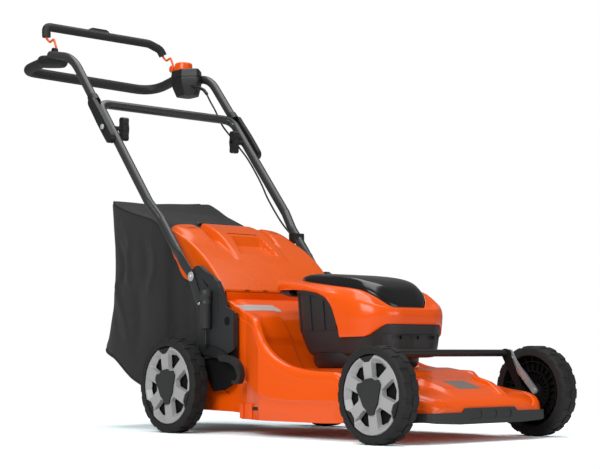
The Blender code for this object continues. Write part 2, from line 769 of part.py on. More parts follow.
def makeHeightLever():
    middle = -(CRANK_X + CRANK_THICKNESS / 2)
    lever = plate(
        "height_lever",
        strip([(0.2880, 0.1990), (0.2450, 0.1950), (0.2050, 0.1850), (0.1780, 0.1760)],
              (0.020, 0.024, 0.020, 0.016)),
        CRANK_THICKNESS, middle, "x", "rear_axle", BLACK_PLASTIC,
    )
    cut(lever, rod("lever_relief", (-0.23, *REAR_PIVOT[1:]), (-0.20, *REAR_PIVOT[1:]), 0.0093, "rear_axle", None))
    join(
        lever,
        rod("rod_pin", (-CRANK_X - 0.001, 0.2585, 0.2090), (-0.2275, 0.2585, 0.2090), 0.0040, "rear_axle", None, 16),
    )
    hook = strip(
        [(0.1900, 0.1790), (0.1640, 0.1770), (0.1400, 0.1690), (0.1240, 0.1540), (0.1190, 0.1370),
         (0.1270, 0.1240), (0.1420, 0.1230)],
        (0.018, 0.019, 0.019, 0.017, 0.014, 0.012, 0.011),
    )
    plate("height_lever_grip", hook, 0.0150, -0.2270, "x", "rear_axle", RUBBER)


def makeAssistSpring():
    x = -(BRACKET_X + BRACKET_THICKNESS + GAP + 0.0117)
    turned(
        "assist_spring_housing",
        [(0.0042, 0.249), (0.0117, 0.249), (0.0117, 0.262), (0.0105, 0.264), (0.0105, 0.322), (0.0117, 0.324),
         (0.0117, 0.338), (0.0095, 0.342), (0.0042, 0.342)],
        (x, 0.2585, 0), "z", "chassis", BLACK_PLASTIC, 16,
    )
    rod("assist_rod", (x, 0.2585, 0.2133), (x, 0.2585, 0.2980), 0.0036, "assist_rod", STEEL, 16)


def makeWheel(end, side, sign, centre, radius):
    name = end + "_" + side
    body = "wheel_" + name
    rim = radius * 0.825
    tread = radius - LUG_HEIGHT
    shoulder = radius * 0.93
    inner = wheelInnerX
    outer = WHEEL_OUTER_X
    profile = [
        (inner + 0.001, 0.0063), (inner + 0.001, 0.016), (0.2540, 0.017), (0.2540, rim - 0.007),
        (inner, rim - 0.004), (inner, shoulder), (inner + 0.005, tread), (outer - 0.004, tread),
        (outer, shoulder), (outer, rim), (0.2600, rim - 0.002), (0.2600, 0.0063),
    ]
    bm = bmesh.new()
    flat = math.cos(math.pi / TREAD_STEPS)
    points = [bm.verts.new((x, 0, -r / flat if r == tread else -r)) for x, r in profile]
    edges = [bm.edges.new((points[i - 1], points[i])) for i in range(len(points))]
    bmesh.ops.rotate(
        bm, cent=(0, 0, 0), matrix=Matrix.Rotation(math.pi / TREAD_STEPS, 3, "X"), verts=bm.verts
    )
    bmesh.ops.spin(
        bm, geom=points + edges, cent=(0, 0, 0), axis=(1, 0, 0), angle=2 * math.pi,
        steps=TREAD_STEPS, use_merge=True,
    )
    bmesh.ops.remove_doubles(bm, verts=bm.verts, dist=0.00001)
    bmesh.ops.recalc_face_normals(bm, faces=bm.faces)

    # Every second tread facet is raised to a lug, one of them flat on the ground
    treadFaces = [f for f in bm.faces if abs(f.calc_center_median().yz.length - tread) < 0.0004]
    treadFaces.sort(key=lambda f: math.atan2(f.calc_center_median().y, -f.calc_center_median().z))
    lowest = min(range(len(treadFaces)), key=lambda i: treadFaces[i].calc_center_median().z)
    lugs = [f for i, f in enumerate(treadFaces) if (i - lowest) % 2 == 0]
    raised = bmesh.ops.extrude_discrete_faces(bm, faces=lugs)["faces"]
    for face in raised:
        bmesh.ops.translate(bm, vec=face.normal * LUG_HEIGHT, verts=face.verts)
    if sign < 0:
        bmesh.ops.scale(bm, vec=(-1, 1, 1), verts=bm.verts)
    meshObject("wheel_" + name, bm, body, RUBBER, (0, centre.y, centre.z))

    # Spoked cover: six windows, three notches in its rim
    windows = []
    for k in range(6):
        a = math.radians(60 * k + 30)
        corners = [(0.43, -0.26), (0.68, -0.29), (0.74, 0.0), (0.68, 0.29), (0.43, 0.26)]
        windows.append(
            arced([(rim * r * math.cos(a + s), rim * r * math.sin(a + s)) for r, s in corners], 0.004, True, 1)
        )
    outline = []
    steps = 36
    edge = rim - 0.0025
    for k in range(steps):
        a = 2 * math.pi * k / steps
        notch = min(abs((math.degrees(a) - n + 180) % 360 - 180) for n in (90, 210, 330))
        size = edge * (0.80 if notch < 12 else 1.0)
        outline.append((size * math.cos(a), size * math.sin(a)))
    cover = plate(
        "wheel_cover_" + name, outline, 0.0065, sign * (0.2603 + 0.00325), "x", body, HUB_GREY, holes=windows
    )
    cover.location += Vector((0, centre.y, centre.z))
    shield = arced(
        [(0.0, 0.43), (0.30, 0.36), (0.38, 0.12), (0.22, -0.22), (0.10, -0.50), (-0.10, -0.50),
         (-0.22, -0.22), (-0.38, 0.12), (-0.30, 0.36)],
        0.006, True, 1,
    )
    cap = plate(
        "wheel_cap_" + name, [p * rim for p in shield], 0.0019, sign * (0.2671 + 0.00095), "x", body,
        GREY_PLASTIC,
    )
    cap.location += Vector((0, centre.y, centre.z))


# Brackets and handles

def makeBracket(side, sign):
    middle = sign * (BRACKET_X + BRACKET_THICKNESS / 2)
    outline = arced(
        [(0.2500, 0.3780), (0.2220, 0.3480), (0.1980, 0.3020), (0.1555, 0.2860), (0.1555, 0.1975),
         (0.2000, 0.1850), (0.2750, 0.1780), (0.3250, 0.1820), (0.3320, 0.2100), (0.3080, 0.2400),
         (0.3100, 0.2840), (0.3420, 0.3700), (0.3350, 0.3920), (0.3180, 0.4030)],
        0.005, True, 2,
    )
    holes = [
        circle((0.190, 0.2686), 0.0075, 12),
        circle((0.329, 0.378), BOLT_RADIUS + GAP, 12),
        circle(REAR_PIVOT[1:], 0.0075, 16),
    ]
    bracket = plate(
        "handle_bracket_" + side, outline, BRACKET_THICKNESS, middle, "x", "chassis", BLACK_PLASTIC, holes
    )
    outer = sign * (BRACKET_X + 0.001)
    for y, z, foot in ((0.2650, 0.2900, 0.1883), (0.2200, 0.2250, 0.1887)):
        join(bracket, rod("boss", (sign * foot, y, z), (outer, y, z), 0.010, "chassis", None, 12))
    flange = box(
        "flange", (min(sign * 0.1975, outer), 0.1560, 0.2000), (max(sign * 0.1975, outer), 0.1600, 0.2820),
        "chassis", None,
    )
    join(bracket, flange)


def lowerArm(sign):
    # From the crossbar down one side, ending where the tube is pressed flat
    return [
        (sign * ARM_X, 0.7404, 0.8630), (sign * ARM_X, 0.5000, 0.5750), (sign * LOWER_END_X, 0.4600, 0.5280),
        (sign * LOWER_END_X, 0.3760, 0.4270),
    ]


def makeLowerHandle():
    route = arced(
        lowerArm(-1)[::-1] + lowerArm(1), [0, 0.03, 0.05, 0.035, 0.035, 0.05, 0.03, 0]
    )
    handle = tube("lower_handle", route, HANDLE_TUBE, "chassis", DARK_STEEL, sides=3)
    flatMiddle = BRACKET_X + BRACKET_THICKNESS + GAP + 0.0023
    for sign, side in ((-1, "right"), (1, "left")):
        flat = plate(
            "flat_end", strip([(0.3900, 0.4430), (0.3700, 0.4200), (0.3290, 0.3780), (0.3020, 0.3200)],
                              (0.0140, 0.0195, 0.0250, 0.0240)),
            0.0046, sign * flatMiddle, "x", "chassis", None,
        )
        join(handle, flat)
        for name, y, z in (("fold_hole", *FOLD_AXIS[1:]), ("end_hole", 0.329, 0.378)):
            cut(handle, rod(
                name, (sign * 0.20, y, z), (sign * 0.25, y, z), BOLT_RADIUS + GAP, "chassis", None, 12
            ))
        head = flatMiddle + 0.0023 + GAP
        turned(
            "handle_bolt_" + side,
            [(0, head + 0.0050), (0.0040, head + 0.0050), (0.0052, head + 0.0035), (0.0052, head + 0.0015),
             (0.0085, head + 0.0012), (0.0085, head), (BOLT_RADIUS, head), (BOLT_RADIUS, 0.2050), (0, 0.2050)],
            (0, 0.329, 0.378), "x" if sign > 0 else "-x", "chassis", STEEL, 12,
        )


def along(distance):
    point = foldAxis + ARM_DIRECTION * distance
    return (point.y, point.z)


def upperRoute(sign):
    bend = [(0.8600, 1.0070), (0.9780, 1.0330)] if sign < 0 else [(0.8620, 1.0070), (0.9550, 1.0130)]
    return arced(
        [(sign * UPPER_ARM_X, *along(0.1045)), (sign * UPPER_ARM_X, *bend[0]), (sign * UPPER_ARM_X, *bend[1])],
        0.045,
    )


def loopRoute():
    return arced(
        [(-0.2230, 1.0300, 1.0240), (-0.2400, LOOP_END_Y, 1.0020), (0.1960, LOOP_END_Y, 0.9980), (0.1960, 0.9780, 1.0020)],
        [0, 0.026, 0.075, 0], steps=6,
    )


def makeClamp(side, sign):
    plateX = UPPER_ARM_X + 0.0021
    thick = 0.0130
    sleeve = plate(
        "clamp_sleeve_" + side,
        strip([along(-0.030), along(0.030), along(0.080), along(0.1080)], (0.030, 0.030, 0.027, 0.026)),
        thick, sign * (plateX + thick / 2), "x", "upper_handle", BLACK_PLASTIC,
        holes=[circle(FOLD_AXIS[1:], BOLT_RADIUS + GAP, 16)],
    )
    collarStart = (sign * UPPER_ARM_X, *along(0.1035))
    collarEnd = (sign * UPPER_ARM_X, *along(0.1290))
    collar = rod("collar", collarStart, collarEnd, 0.0140, "upper_handle", None)
    join(sleeve, collar)
    cut(sleeve, bore("collar_bore", upperRoute(sign), HANDLE_TUBE, "upper_handle"))
    head = plateX + thick + GAP
    turned(
        "clamp_bolt_" + side,
        [(0, head + 0.0048), (0.0060, head + 0.0045), (0.0075, head + 0.0025), (0.0075, head),
         (BOLT_RADIUS, head), (BOLT_RADIUS, 0.2000), (0, 0.2000)],
        FOLD_AXIS, "x" if sign > 0 else "-x", "upper_handle", STEEL, 12,
    )
    outerFace = ARM_X - HANDLE_TUBE - GAP
    hub = turned(
        "wing_knob_" + side,
        [(0, outerFace), (0.0090, outerFace), (0.0090, 0.1960), (0.0125, 0.1940), (0.0125, 0.1800), (0, 0.1800)],
        FOLD_AXIS, "x" if sign > 0 else "-x", "wing_knob_" + side, BLACK_PLASTIC, 16,
    )
    wings = plate(
        "wings",
        arced([(y + FOLD_AXIS[1], z + FOLD_AXIS[2]) for y, z in (
            (-0.0235, -0.0060), (-0.0120, -0.0100), (0.0120, -0.0100), (0.0235, -0.0060),
            (0.0235, 0.0060), (0.0120, 0.0100), (-0.0120, 0.0100), (-0.0235, 0.0060))], 0.003, True, 1),
        0.0165, sign * 0.1850, "x", "wing_knob_" + side, None,
    )
    join(hub, wings)
    cut(hub, rod(
        "knob_bore", (sign * 0.17, *FOLD_AXIS[1:]), (sign * 0.22, *FOLD_AXIS[1:]), BOLT_RADIUS + GAP,
        "wing_knob_" + side, None, 12,
    ))


def makeUpperHandle():
    for side, sign in (("right", -1), ("left", 1)):
        tube("upper_handle_" + side, upperRoute(sign), HANDLE_TUBE, "upper_handle", DARK_STEEL, sides=3)
    tube("grip_loop", loopRoute(), LOOP_TUBE, "upper_handle", RUBBER, sides=3)

    bracket = box("grip_bracket", (-0.2400, 0.9520, 1.0060), (-0.2050, 1.0500, 1.0420), "upper_handle", BLACK_PLASTIC, 0.005)
    collar = rod("grip_collar", (-0.2215, 1.040, 1.0225), (-0.2255, 1.058, 1.0165), 0.0162, "upper_handle", None)
    join(bracket, collar)
    ear = plate(
        "right_ear", arced([(0.9853, 1.0300), (1.0073, 1.0300), (1.0043, 1.0600), (0.9883, 1.0600)], 0.006, True, 3),
        0.0052, -0.2092, "x", "upper_handle", None,
    )
    join(bracket, ear)

    def ring(half, front, rear, chamfer, z):
        middle = 0.1985
        return [
            (middle - half, front + chamfer, z), (middle - half + chamfer, front, z),
            (middle + half - chamfer, front, z), (middle + half, front + chamfer, z),
            (middle + half, rear - chamfer, z), (middle + half - chamfer, rear, z),
            (middle - half + chamfer, rear, z), (middle - half, rear - chamfer, z),
        ]

    control = loft(
        "control_box",
        [
            ring(0.040, 0.874, 0.965, 0.014, 0.9485), ring(0.058, 0.857, 0.995, 0.016, 0.9820),
            ring(0.0625, 0.850, 1.006, 0.017, 1.0120), ring(0.0600, 0.853, 1.004, 0.017, 1.0280),
            ring(0.0560, 0.857, 1.000, 0.016, 1.0320),
        ],
        "upper_handle", BLACK_PLASTIC, smooth=False,
    )
    ear = plate(
        "left_ear", arced([(0.9863, 1.0250), (1.0030, 1.0250), (1.0043, 1.0600), (0.9883, 1.0600)], 0.006, True, 3),
        0.0052, 0.2092, "x", "upper_handle", None,
    )
    boot = tube(
        "cable_boot",
        [(0.190, 0.880, 0.985), (0.190, 0.831, 0.9645), (0.190, 0.8205, 0.9585), (0.190, 0.8145, 0.9485)], 0.0050,
        "upper_handle", None,
    )
    join(control, ear, boot)
    pivotHole = rod("bail_hole", (-0.24, *BAIL_AXIS[1:]), (0.24, *BAIL_AXIS[1:]), BAIL_WIRE + GAP, "upper_handle", None, 16)
    buttonWell = rod(
        "button_well", (*BUTTON_CENTRE[:2], 1.020), (*BUTTON_CENTRE[:2], 1.060), BUTTON_RADIUS + 0.0004,
        "upper_handle", None, 20,
    )
    for obj, sign in ((bracket, -1), (control, 1)):
        cut(
            obj,
            bore("arm_bore", upperRoute(sign), HANDLE_TUBE, "upper_handle"),
            bore("loop_bore", loopRoute(), LOOP_TUBE, "upper_handle"),
            pivotHole,
        )
    cut(control, buttonWell)
    dome = [(BUTTON_RADIUS * math.cos(a), 0.026 + 0.0095 * math.sin(a)) for a in (math.pi * k / 10 for k in range(5))]
    turned(
        "start_button", [(0, -0.0045), (BUTTON_RADIUS, -0.0045)] + dome + [(0, 0.0355)],
        BUTTON_CENTRE, "z", "start_button", ORANGE, 20,
    )


def bailRoute():
    def legs(sign):
        return [
            (sign * 0.2125, 0.9963, 1.0516), (sign * 0.2030, 0.9963, 1.0516), (sign * 0.2030, 1.0173, 1.0912),
            (sign * 0.2030, 1.0385, 1.0854), (sign * 0.2035, 1.0560, 1.0985),
        ]

    return legs(-1), legs(1)[::-1]


def makeBail():
    right, left = bailRoute()
    top = [(-0.2036, 1.0600, 1.1350), (0.1520, 1.0600, 1.1350), (0.1930, 1.0590, 1.1220)]
    route = arced(right + top + left, [0, 0.003, 0.006, 0.008, 0.004, 0.020, 0.050, 0.030, 0.004, 0.008, 0.006, 0.003, 0])
    tube("bail_wire", route, BAIL_WIRE, "bail", ORANGE, sides=1)
    covered = arced(
        [(-0.2035, 1.0577, 1.1042)] + top + [(0.2035, 1.0577, 1.1042)], [0, 0.020, 0.050, 0.030, 0]
    )
    sleeve = tube("bail_sleeve", covered, BAIL_SLEEVE, "bail", RUBBER, sides=3)
    join(sleeve, box("bail_block", (-0.060, 1.0520, 1.1350), (0.006, 1.0680, 1.1525), "bail", None, 0.003))
    cut(sleeve, bore("bail_bore", route, BAIL_WIRE, "bail", sides=1))


# Grass bag and control cable

BAG_STATIONS = (
    # Top (y, z), bottom (y, z), half width
    ((0.3370, 0.4000), (0.3370, 0.1690), 0.1640),
    ((0.4000, 0.4560), (0.4200, 0.1690), 0.1720),
    ((0.4560, 0.4860), (0.4660, 0.1500), 0.1780),
    ((0.4850, 0.5060), (0.4860, 0.1060), 0.1900),
    ((0.5321, 0.5361), (0.5200, 0.0880), 0.1970),
    ((0.6247, 0.5619), (0.6050, 0.1020), 0.2000),
    ((0.7064, 0.5874), (0.7150, 0.1500), 0.1930),
    ((0.7640, 0.6060), (0.7950, 0.1870), 0.1620),
    ((0.7780, 0.6040), (0.8120, 0.1990), 0.1480),
)


def makeBag():
    rings = []
    for top, bottom, half in BAG_STATIONS:
        height = math.dist(top, bottom)
        ring = []
        for x, v in plan(half, 0, height, 0.030, 4):
            share = v / height
            ring.append((x, bottom[0] + (top[0] - bottom[0]) * share, bottom[1] + (top[1] - bottom[1]) * share))
        rings.append(ring)
    loft("grass_bag", rings, "grass_bag", CLOTH, caps=(False, True), wall=BAG_WALL)

    frame = plate(
        "bag_frame", [p[:2] for p in plan(0.1650, 0.1680, 0.4010, 0.020, 4)], 0.0125, 0.3300, "y", "grass_bag",
        BLACK_PLASTIC, holes=[plan(0.1500, 0.1830, 0.3860, 0.012, 4)],
    )
    for sign in (-1, 1):
        hook = plate(
            "bag_hook", [(0.2960, 0.3223), (0.3280, 0.3223), (0.3280, 0.3300), (0.2960, 0.3300)], 0.030,
            sign * 0.158, "x", "grass_bag", None,
        )
        join(frame, hook)


def makeCable():
    upper = arced(
        [(0.190, 0.8142, 0.9480), (0.192, 0.800, 0.924), (0.196, 0.782, 0.8960), (0.200, 0.7560, 0.8520),
         (0.2035, 0.7120, 0.8060), (0.2035, 0.6886, 0.7808)], 0.04, steps=3,
    )
    lower = arced(
        [(0.2035, 0.6882, 0.7804), (0.2035, 0.6400, 0.7390), (0.2025, 0.5808, 0.6667), (0.1990, 0.5413, 0.6129),
         (0.1985, 0.4811, 0.5429), (0.1985, 0.4300, 0.4980), (0.1975, 0.3850, 0.4500), (0.1975, 0.3300, 0.4070),
         (0.1970, 0.2700, 0.3800), (0.1960, 0.2300, 0.3560), (0.1900, 0.1950, 0.3300), (0.1730, 0.1450, 0.3050),
         (0.1590, 0.1000, 0.2620), (0.1480, 0.0600, 0.2350), (0.1256, 0.0350, 0.2300)], 0.03, steps=2,
    )
    tube("control_cable_upper", upper, CABLE_RADIUS, "upper_handle", RUBBER, sides=1)
    tube("control_cable_lower", lower, CABLE_RADIUS, "chassis", RUBBER, sides=1)
    clip = box("cable_clip", (0.1940, 0.4260, 0.4870), (0.2280, 0.4480, 0.5130), "chassis", BLACK_PLASTIC)
    cut(
        clip,
        bore("clip_arm_bore", arced(lowerArm(1), 0.03), HANDLE_TUBE, "chassis"),
        bore("clip_cable_bore", lower, CABLE_RADIUS, "chassis", sides=1),
    )


makeDeck()
makeBumper()
makeMotor()
makeBlade()
makeHood()
makeFlap()
makeFlapSpring()
makeAxles()
makeHeightLever()
makeAssistSpring()
for side, sign in (("right", -1), ("left", 1)):
    makeWheel("front", side, sign, frontCentre, FRONT_RADIUS)
    makeWheel("rear", side, sign, rearCentre, REAR_RADIUS)
    makeBracket(side, sign)
    makeClamp(side, sign)
makeLowerHandle()
makeUpperHandle()
makeBail()
makeBag()
makeCable()
bpy.context.view_layer.update()
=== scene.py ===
import json
import math

import bmesh
import bpy
from mathutils import Matrix, Vector, noise


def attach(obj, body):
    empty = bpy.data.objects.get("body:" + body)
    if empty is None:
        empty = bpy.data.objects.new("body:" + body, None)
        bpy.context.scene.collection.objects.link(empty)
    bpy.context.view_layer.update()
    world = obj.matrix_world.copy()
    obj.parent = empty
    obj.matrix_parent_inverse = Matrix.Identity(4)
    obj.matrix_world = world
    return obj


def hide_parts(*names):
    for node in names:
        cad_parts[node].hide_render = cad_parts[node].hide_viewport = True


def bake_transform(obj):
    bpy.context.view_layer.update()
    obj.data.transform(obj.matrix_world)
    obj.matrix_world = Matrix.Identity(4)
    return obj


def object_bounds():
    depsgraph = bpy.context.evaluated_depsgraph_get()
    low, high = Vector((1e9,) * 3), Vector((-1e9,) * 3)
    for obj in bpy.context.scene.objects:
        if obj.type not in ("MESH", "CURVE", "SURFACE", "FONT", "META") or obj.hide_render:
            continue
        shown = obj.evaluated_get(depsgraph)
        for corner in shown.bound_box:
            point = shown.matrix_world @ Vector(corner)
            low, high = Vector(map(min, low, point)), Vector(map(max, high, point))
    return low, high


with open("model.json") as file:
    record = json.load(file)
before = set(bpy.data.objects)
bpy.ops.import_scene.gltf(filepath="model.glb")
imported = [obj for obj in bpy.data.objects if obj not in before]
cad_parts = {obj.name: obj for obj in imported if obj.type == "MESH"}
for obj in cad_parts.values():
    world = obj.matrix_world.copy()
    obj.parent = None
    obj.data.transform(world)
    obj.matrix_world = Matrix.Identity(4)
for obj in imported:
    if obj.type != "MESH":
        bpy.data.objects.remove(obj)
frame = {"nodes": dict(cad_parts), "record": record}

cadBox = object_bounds()
nodes = frame["nodes"]
toRow = Vector((0, -0.32575, 0))  # shapes are drawn from the middle of the wheelbase, front towards -Y
scene = bpy.context.scene
gap = 0.0003  # clearance between pieces that move or bolt together


# Finishes

finishes = {
    # Colour, roughness and its spread, metal, coat, specular level, fineness and depth of the grain
    "orange": dict(colour=(0.80, 0.090, 0.0015), rough=0.24, coat=0.18, spec=0.28, grain=70, depth=0.02, spread=0.05),
    # flap: the deck's orange plastic with a darker colour, painted shade on the flap
    "flap": dict(colour=(0.68, 0.088, 0.0010), rough=0.27, coat=0.12, spec=0.22, grain=70, depth=0.02, spread=0.05),
    "tag": dict(colour=(0.20, 0.16, 0.14), rough=0.38, metal=0.2, grain=300, depth=0.01, spread=0.05),
    "black": dict(colour=(0.0115, 0.012, 0.0125), rough=0.42, spec=0.35, grain=1100, depth=0.08, spread=0.08),
    "grey": dict(colour=(0.020, 0.021, 0.022), rough=0.46, spec=0.35, grain=900, depth=0.10, spread=0.08),
    "gloss": dict(colour=(0.005, 0.005, 0.006), rough=0.24, coat=0.15, spec=0.45, grain=50, depth=0.01, spread=0.05),
    "tyre": dict(colour=(0.0145, 0.0145, 0.0145), rough=0.66, spec=0.25, grain=700, depth=0.20, spread=0.10),
    # shade: near-black, darker than the black plastic; painted shade for parts that sit in deep shade
    "shade": dict(colour=(0.0045, 0.0045, 0.0045), rough=0.60, spec=0.15, grain=900, depth=0.05, spread=0.05),
    "hub": dict(colour=(0.33, 0.333, 0.337), rough=0.36, spec=0.45, grain=900, depth=0.05, spread=0.06),
    "steel": dict(colour=(0.60, 0.60, 0.61), rough=0.26, metal=1.0, grain=500, depth=0.03, spread=0.10),
    "zinc": dict(colour=(0.52, 0.52, 0.53), rough=0.34, metal=0.45, grain=500, depth=0.05, spread=0.10),
    "tube": dict(colour=(0.0260, 0.0270, 0.0280), rough=0.32, coat=0.2, spec=0.40, grain=1400, depth=0.03, spread=0.05),
    "copper": dict(colour=(0.55, 0.24, 0.10), rough=0.35, metal=0.9, grain=600, depth=0.05, spread=0.1),
    "board": dict(colour=(0.02, 0.16, 0.06), rough=0.45, grain=600, depth=0.05, spread=0.1),
    "label": dict(colour=(0.46, 0.45, 0.44), rough=0.32, metal=0.2, grain=300, depth=0.01, spread=0.05),
    "rubber": dict(colour=(0.015, 0.015, 0.016), rough=0.60, spec=0.30, grain=900, depth=0.12, spread=0.08),
    "cloth": dict(colour=(0.020, 0.020, 0.0215), rough=0.90, spec=0.12, grain=1500, depth=0.45, spread=0.05),
    "wire": dict(colour=(0.80, 0.11, 0.004), rough=0.34, coat=0.1, spec=0.35, grain=200, depth=0.02, spread=0.05),
    "grip": dict(colour=(0.0165, 0.0165, 0.0175), rough=0.55, spec=0.35, grain=1500, depth=0.20, spread=0.08),
}


def wire(tree, source, target):
    tree.links.new(source, target)


def makeFinish(name, look):
    mat = bpy.data.materials.new(name)
    mat.use_nodes = True
    tree = mat.node_tree
    shader = tree.nodes["Principled BSDF"]
    shader.inputs["Base Color"].default_value = (*look["colour"], 1)
    shader.inputs["Roughness"].default_value = look["rough"]
    shader.inputs["Metallic"].default_value = look.get("metal", 0.0)
    shader.inputs["Coat Weight"].default_value = look.get("coat", 0.0)
    shader.inputs["Coat Roughness"].default_value = 0.12
    shader.inputs["Specular IOR Level"].default_value = look.get("spec", 0.5)
    place = tree.nodes.new("ShaderNodeTexCoord")
    cloud = tree.nodes.new("ShaderNodeTexNoise")
    cloud.inputs["Scale"].default_value = 9.0
    cloud.inputs["Detail"].default_value = 3.0
    spread = tree.nodes.new("ShaderNodeMapRange")
    spread.inputs["To Min"].default_value = look["rough"] - look["spread"]
    spread.inputs["To Max"].default_value = look["rough"] + look["spread"]
    fine = tree.nodes.new("ShaderNodeTexNoise")
    fine.inputs["Scale"].default_value = look["grain"]
    fine.inputs["Detail"].default_value = 2.0
    bump = tree.nodes.new("ShaderNodeBump")
    bump.inputs["Strength"].default_value = look["depth"]
    bump.inputs["Distance"].default_value = 0.001
    wire(tree, place.outputs["Object"], cloud.inputs["Vector"])
    wire(tree, place.outputs["Object"], fine.inputs["Vector"])
    wire(tree, cloud.outputs["Fac"], spread.inputs["Value"])
    wire(tree, spread.outputs["Result"], shader.inputs["Roughness"])
    wire(tree, fine.outputs["Fac"], bump.inputs["Height"])
    wire(tree, bump.outputs["Normal"], shader.inputs["Normal"])
    return mat


looks = {name: makeFinish(name, look) for name, look in finishes.items()}
print("finishes made")


# Shapes

def roundedPath(corners, radius, closed=False, steps=4):
    made = []
    count = len(corners)
    for index, corner in enumerate(corners):
        here = Vector(corner)
        size = radius[index] if isinstance(radius, (list, tuple)) else radius
        if size == 0 or (not closed and index in (0, count - 1)):
            made.append(here)
            continue
        before = Vector(corners[index - 1]) - here
        after = Vector(corners[(index + 1) % count]) - here
        opening = before.angle(after)
        reach = min(size / math.tan(opening / 2), before.length * 0.49, after.length * 0.49)
        start = here + before.normalized() * reach
        end = here + after.normalized() * reach
        for step in range(steps + 1):
            t = step / steps
            made.append(start * (1 - t) ** 2 + here * 2 * t * (1 - t) + end * t ** 2)
    return made


def ringOf(centre, radius, count=32):
    turns = [2 * math.pi * k / count for k in range(count)]
    return [(centre[0] + radius * math.cos(a), centre[1] + radius * math.sin(a)) for a in turns]


def between(table, value):
    if value <= table[0][0]:
        return table[0][1]
    for (a, va), (b, vb) in zip(table, table[1:]):
        if value <= b:
            return va + (vb - va) * (value - a) / (b - a)
    return table[-1][1]


def smoothBetween(table, value):
    # A smooth curve through the rows of (position, value)
    last = len(table) - 1
    if value <= table[0][0]:
        return table[0][1]
    if value >= table[last][0]:
        return table[last][1]
    i = max(k for k in range(last) if table[k][0] <= value)

    def slope(k):
        if k in (0, last):
            a, b = (0, 1) if k == 0 else (last - 1, last)
            return (table[b][1] - table[a][1]) / (table[b][0] - table[a][0])
        left = (table[k][1] - table[k - 1][1]) / (table[k][0] - table[k - 1][0])
        right = (table[k + 1][1] - table[k][1]) / (table[k + 1][0] - table[k][0])
        return 0.0 if left * right <= 0 else 2 * left * right / (left + right)

    width = table[i + 1][0] - table[i][0]
    t = (value - table[i][0]) / width
    return (
        table[i][1] * (1 + 2 * t) * (1 - t) ** 2 + slope(i) * width * t * (1 - t) ** 2
        + table[i + 1][1] * t * t * (3 - 2 * t) + slope(i + 1) * width * t * t * (t - 1)
    )


def barOutline(points, widths, steps=8):
    # The outline of a flat bar along a line, with a round nose at each end
    points = [Vector(p) for p in points]
    left, right = [], []
    for i, point in enumerate(points):
        ahead = points[min(i + 1, len(points) - 1)] - points[max(i - 1, 0)]
        side = Vector((-ahead.y, ahead.x)).normalized() * widths[i] / 2
        left.append(point + side)
        right.append(point - side)
    noses = []
    for point, before, width in ((points[-1], points[-2], widths[-1]), (points[0], points[1], widths[0])):
        out = (point - before).normalized()
        side = Vector((-out.y, out.x))
        turns = [math.pi * k / steps for k in range(1, steps)]
        noses.append([point + (side * math.cos(a) + out * math.sin(a)) * width / 2 for a in turns])
    return left + noses[0] + right[::-1] + noses[1]


def fromCurve(curve):
    holder = bpy.data.objects.new("holder", curve)
    mesh = bpy.data.meshes.new_from_object(holder)
    bm = bmesh.new()
    bm.from_mesh(mesh)
    bmesh.ops.remove_doubles(bm, verts=bm.verts, dist=0.00001)
    bmesh.ops.recalc_face_normals(bm, faces=bm.faces)
    bpy.data.objects.remove(holder)
    bpy.data.curves.remove(curve)
    bpy.data.meshes.remove(mesh)
    return bm


def tubeShape(points, radius, sides=16):
    curve = bpy.data.curves.new("route", "CURVE")
    curve.dimensions = "3D"
    curve.bevel_depth = radius
    curve.bevel_resolution = sides // 2 - 2
    curve.use_fill_caps = True
    spline = curve.splines.new("POLY")
    spline.points.add(len(points) - 1)
    for point, place in zip(spline.points, points):
        point.co = (*place, 1)
    return fromCurve(curve)


def slabShape(outline, thickness, middle, facing, holes=()):
    curve = bpy.data.curves.new("outline", "CURVE")
    curve.dimensions = "2D"
    curve.fill_mode = "BOTH"
    curve.extrude = thickness / 2
    for path in (outline, *holes):
        spline = curve.splines.new("POLY")
        spline.points.add(len(path) - 1)
        spline.use_cyclic_u = True
        for point, place in zip(spline.points, path):
            point.co = (place[0], place[1], 0, 1)
    bm = fromCurve(curve)
    turn = {
        "x": Matrix(((0, 0, 1), (1, 0, 0), (0, 1, 0))),
        "y": Matrix(((1, 0, 0), (0, 0, -1), (0, 1, 0))),
        "z": Matrix.Identity(3),
    }[facing]
    away = {"x": (middle, 0, 0), "y": (0, middle, 0), "z": (0, 0, middle)}[facing]
    bmesh.ops.transform(bm, matrix=Matrix.Translation(away) @ turn.to_4x4(), verts=bm.verts)
    return bm


def boxShape(low, high):
    bm = bmesh.new()
    size = [b - a for a, b in zip(low, high)]
    middle = [(a + b) / 2 for a, b in zip(low, high)]
    bmesh.ops.create_cube(bm, size=1, matrix=Matrix.Translation(middle) @ Matrix.Diagonal((*size, 1)))
    return bm


def sideBox(sign, across, along, up):
    # A box on the right (-1) or left (1) side
    low, high = sorted(sign * x for x in across)
    return boxShape((low, along[0], up[0]), (high, along[1], up[1]))


def rodShape(start, end, radius, segments=24, endRadius=None):
    start, end = Vector(start), Vector(end)
    along = end - start
    turn = along.to_track_quat("Z", "Y").to_matrix().to_4x4()
    bm = bmesh.new()
    bmesh.ops.create_cone(
        bm, cap_ends=True, segments=segments, radius1=radius, radius2=radius if endRadius is None else endRadius,
        depth=along.length, matrix=Matrix.Translation((start + end) / 2) @ turn,
    )
    return bm


def spunShape(profile, centre, axis, steps=48):
    # The profile is (radius, distance along the axis)
    direction = Vector(axis)
    side = Vector((0, 0, 1)) if abs(direction.z) < 0.5 else Vector((1, 0, 0))
    bm = bmesh.new()
    verts = [bm.verts.new(Vector(centre) + side * r + direction * d) for r, d in profile]
    edges = [bm.edges.new(pair) for pair in zip(verts, verts[1:])]
    bmesh.ops.spin(
        bm, geom=verts + edges, cent=centre, axis=direction, angle=2 * math.pi, steps=steps, use_merge=True
    )
    bmesh.ops.remove_doubles(bm, verts=bm.verts, dist=0.00001)
    bmesh.ops.recalc_face_normals(bm, faces=bm.faces)
    return bm


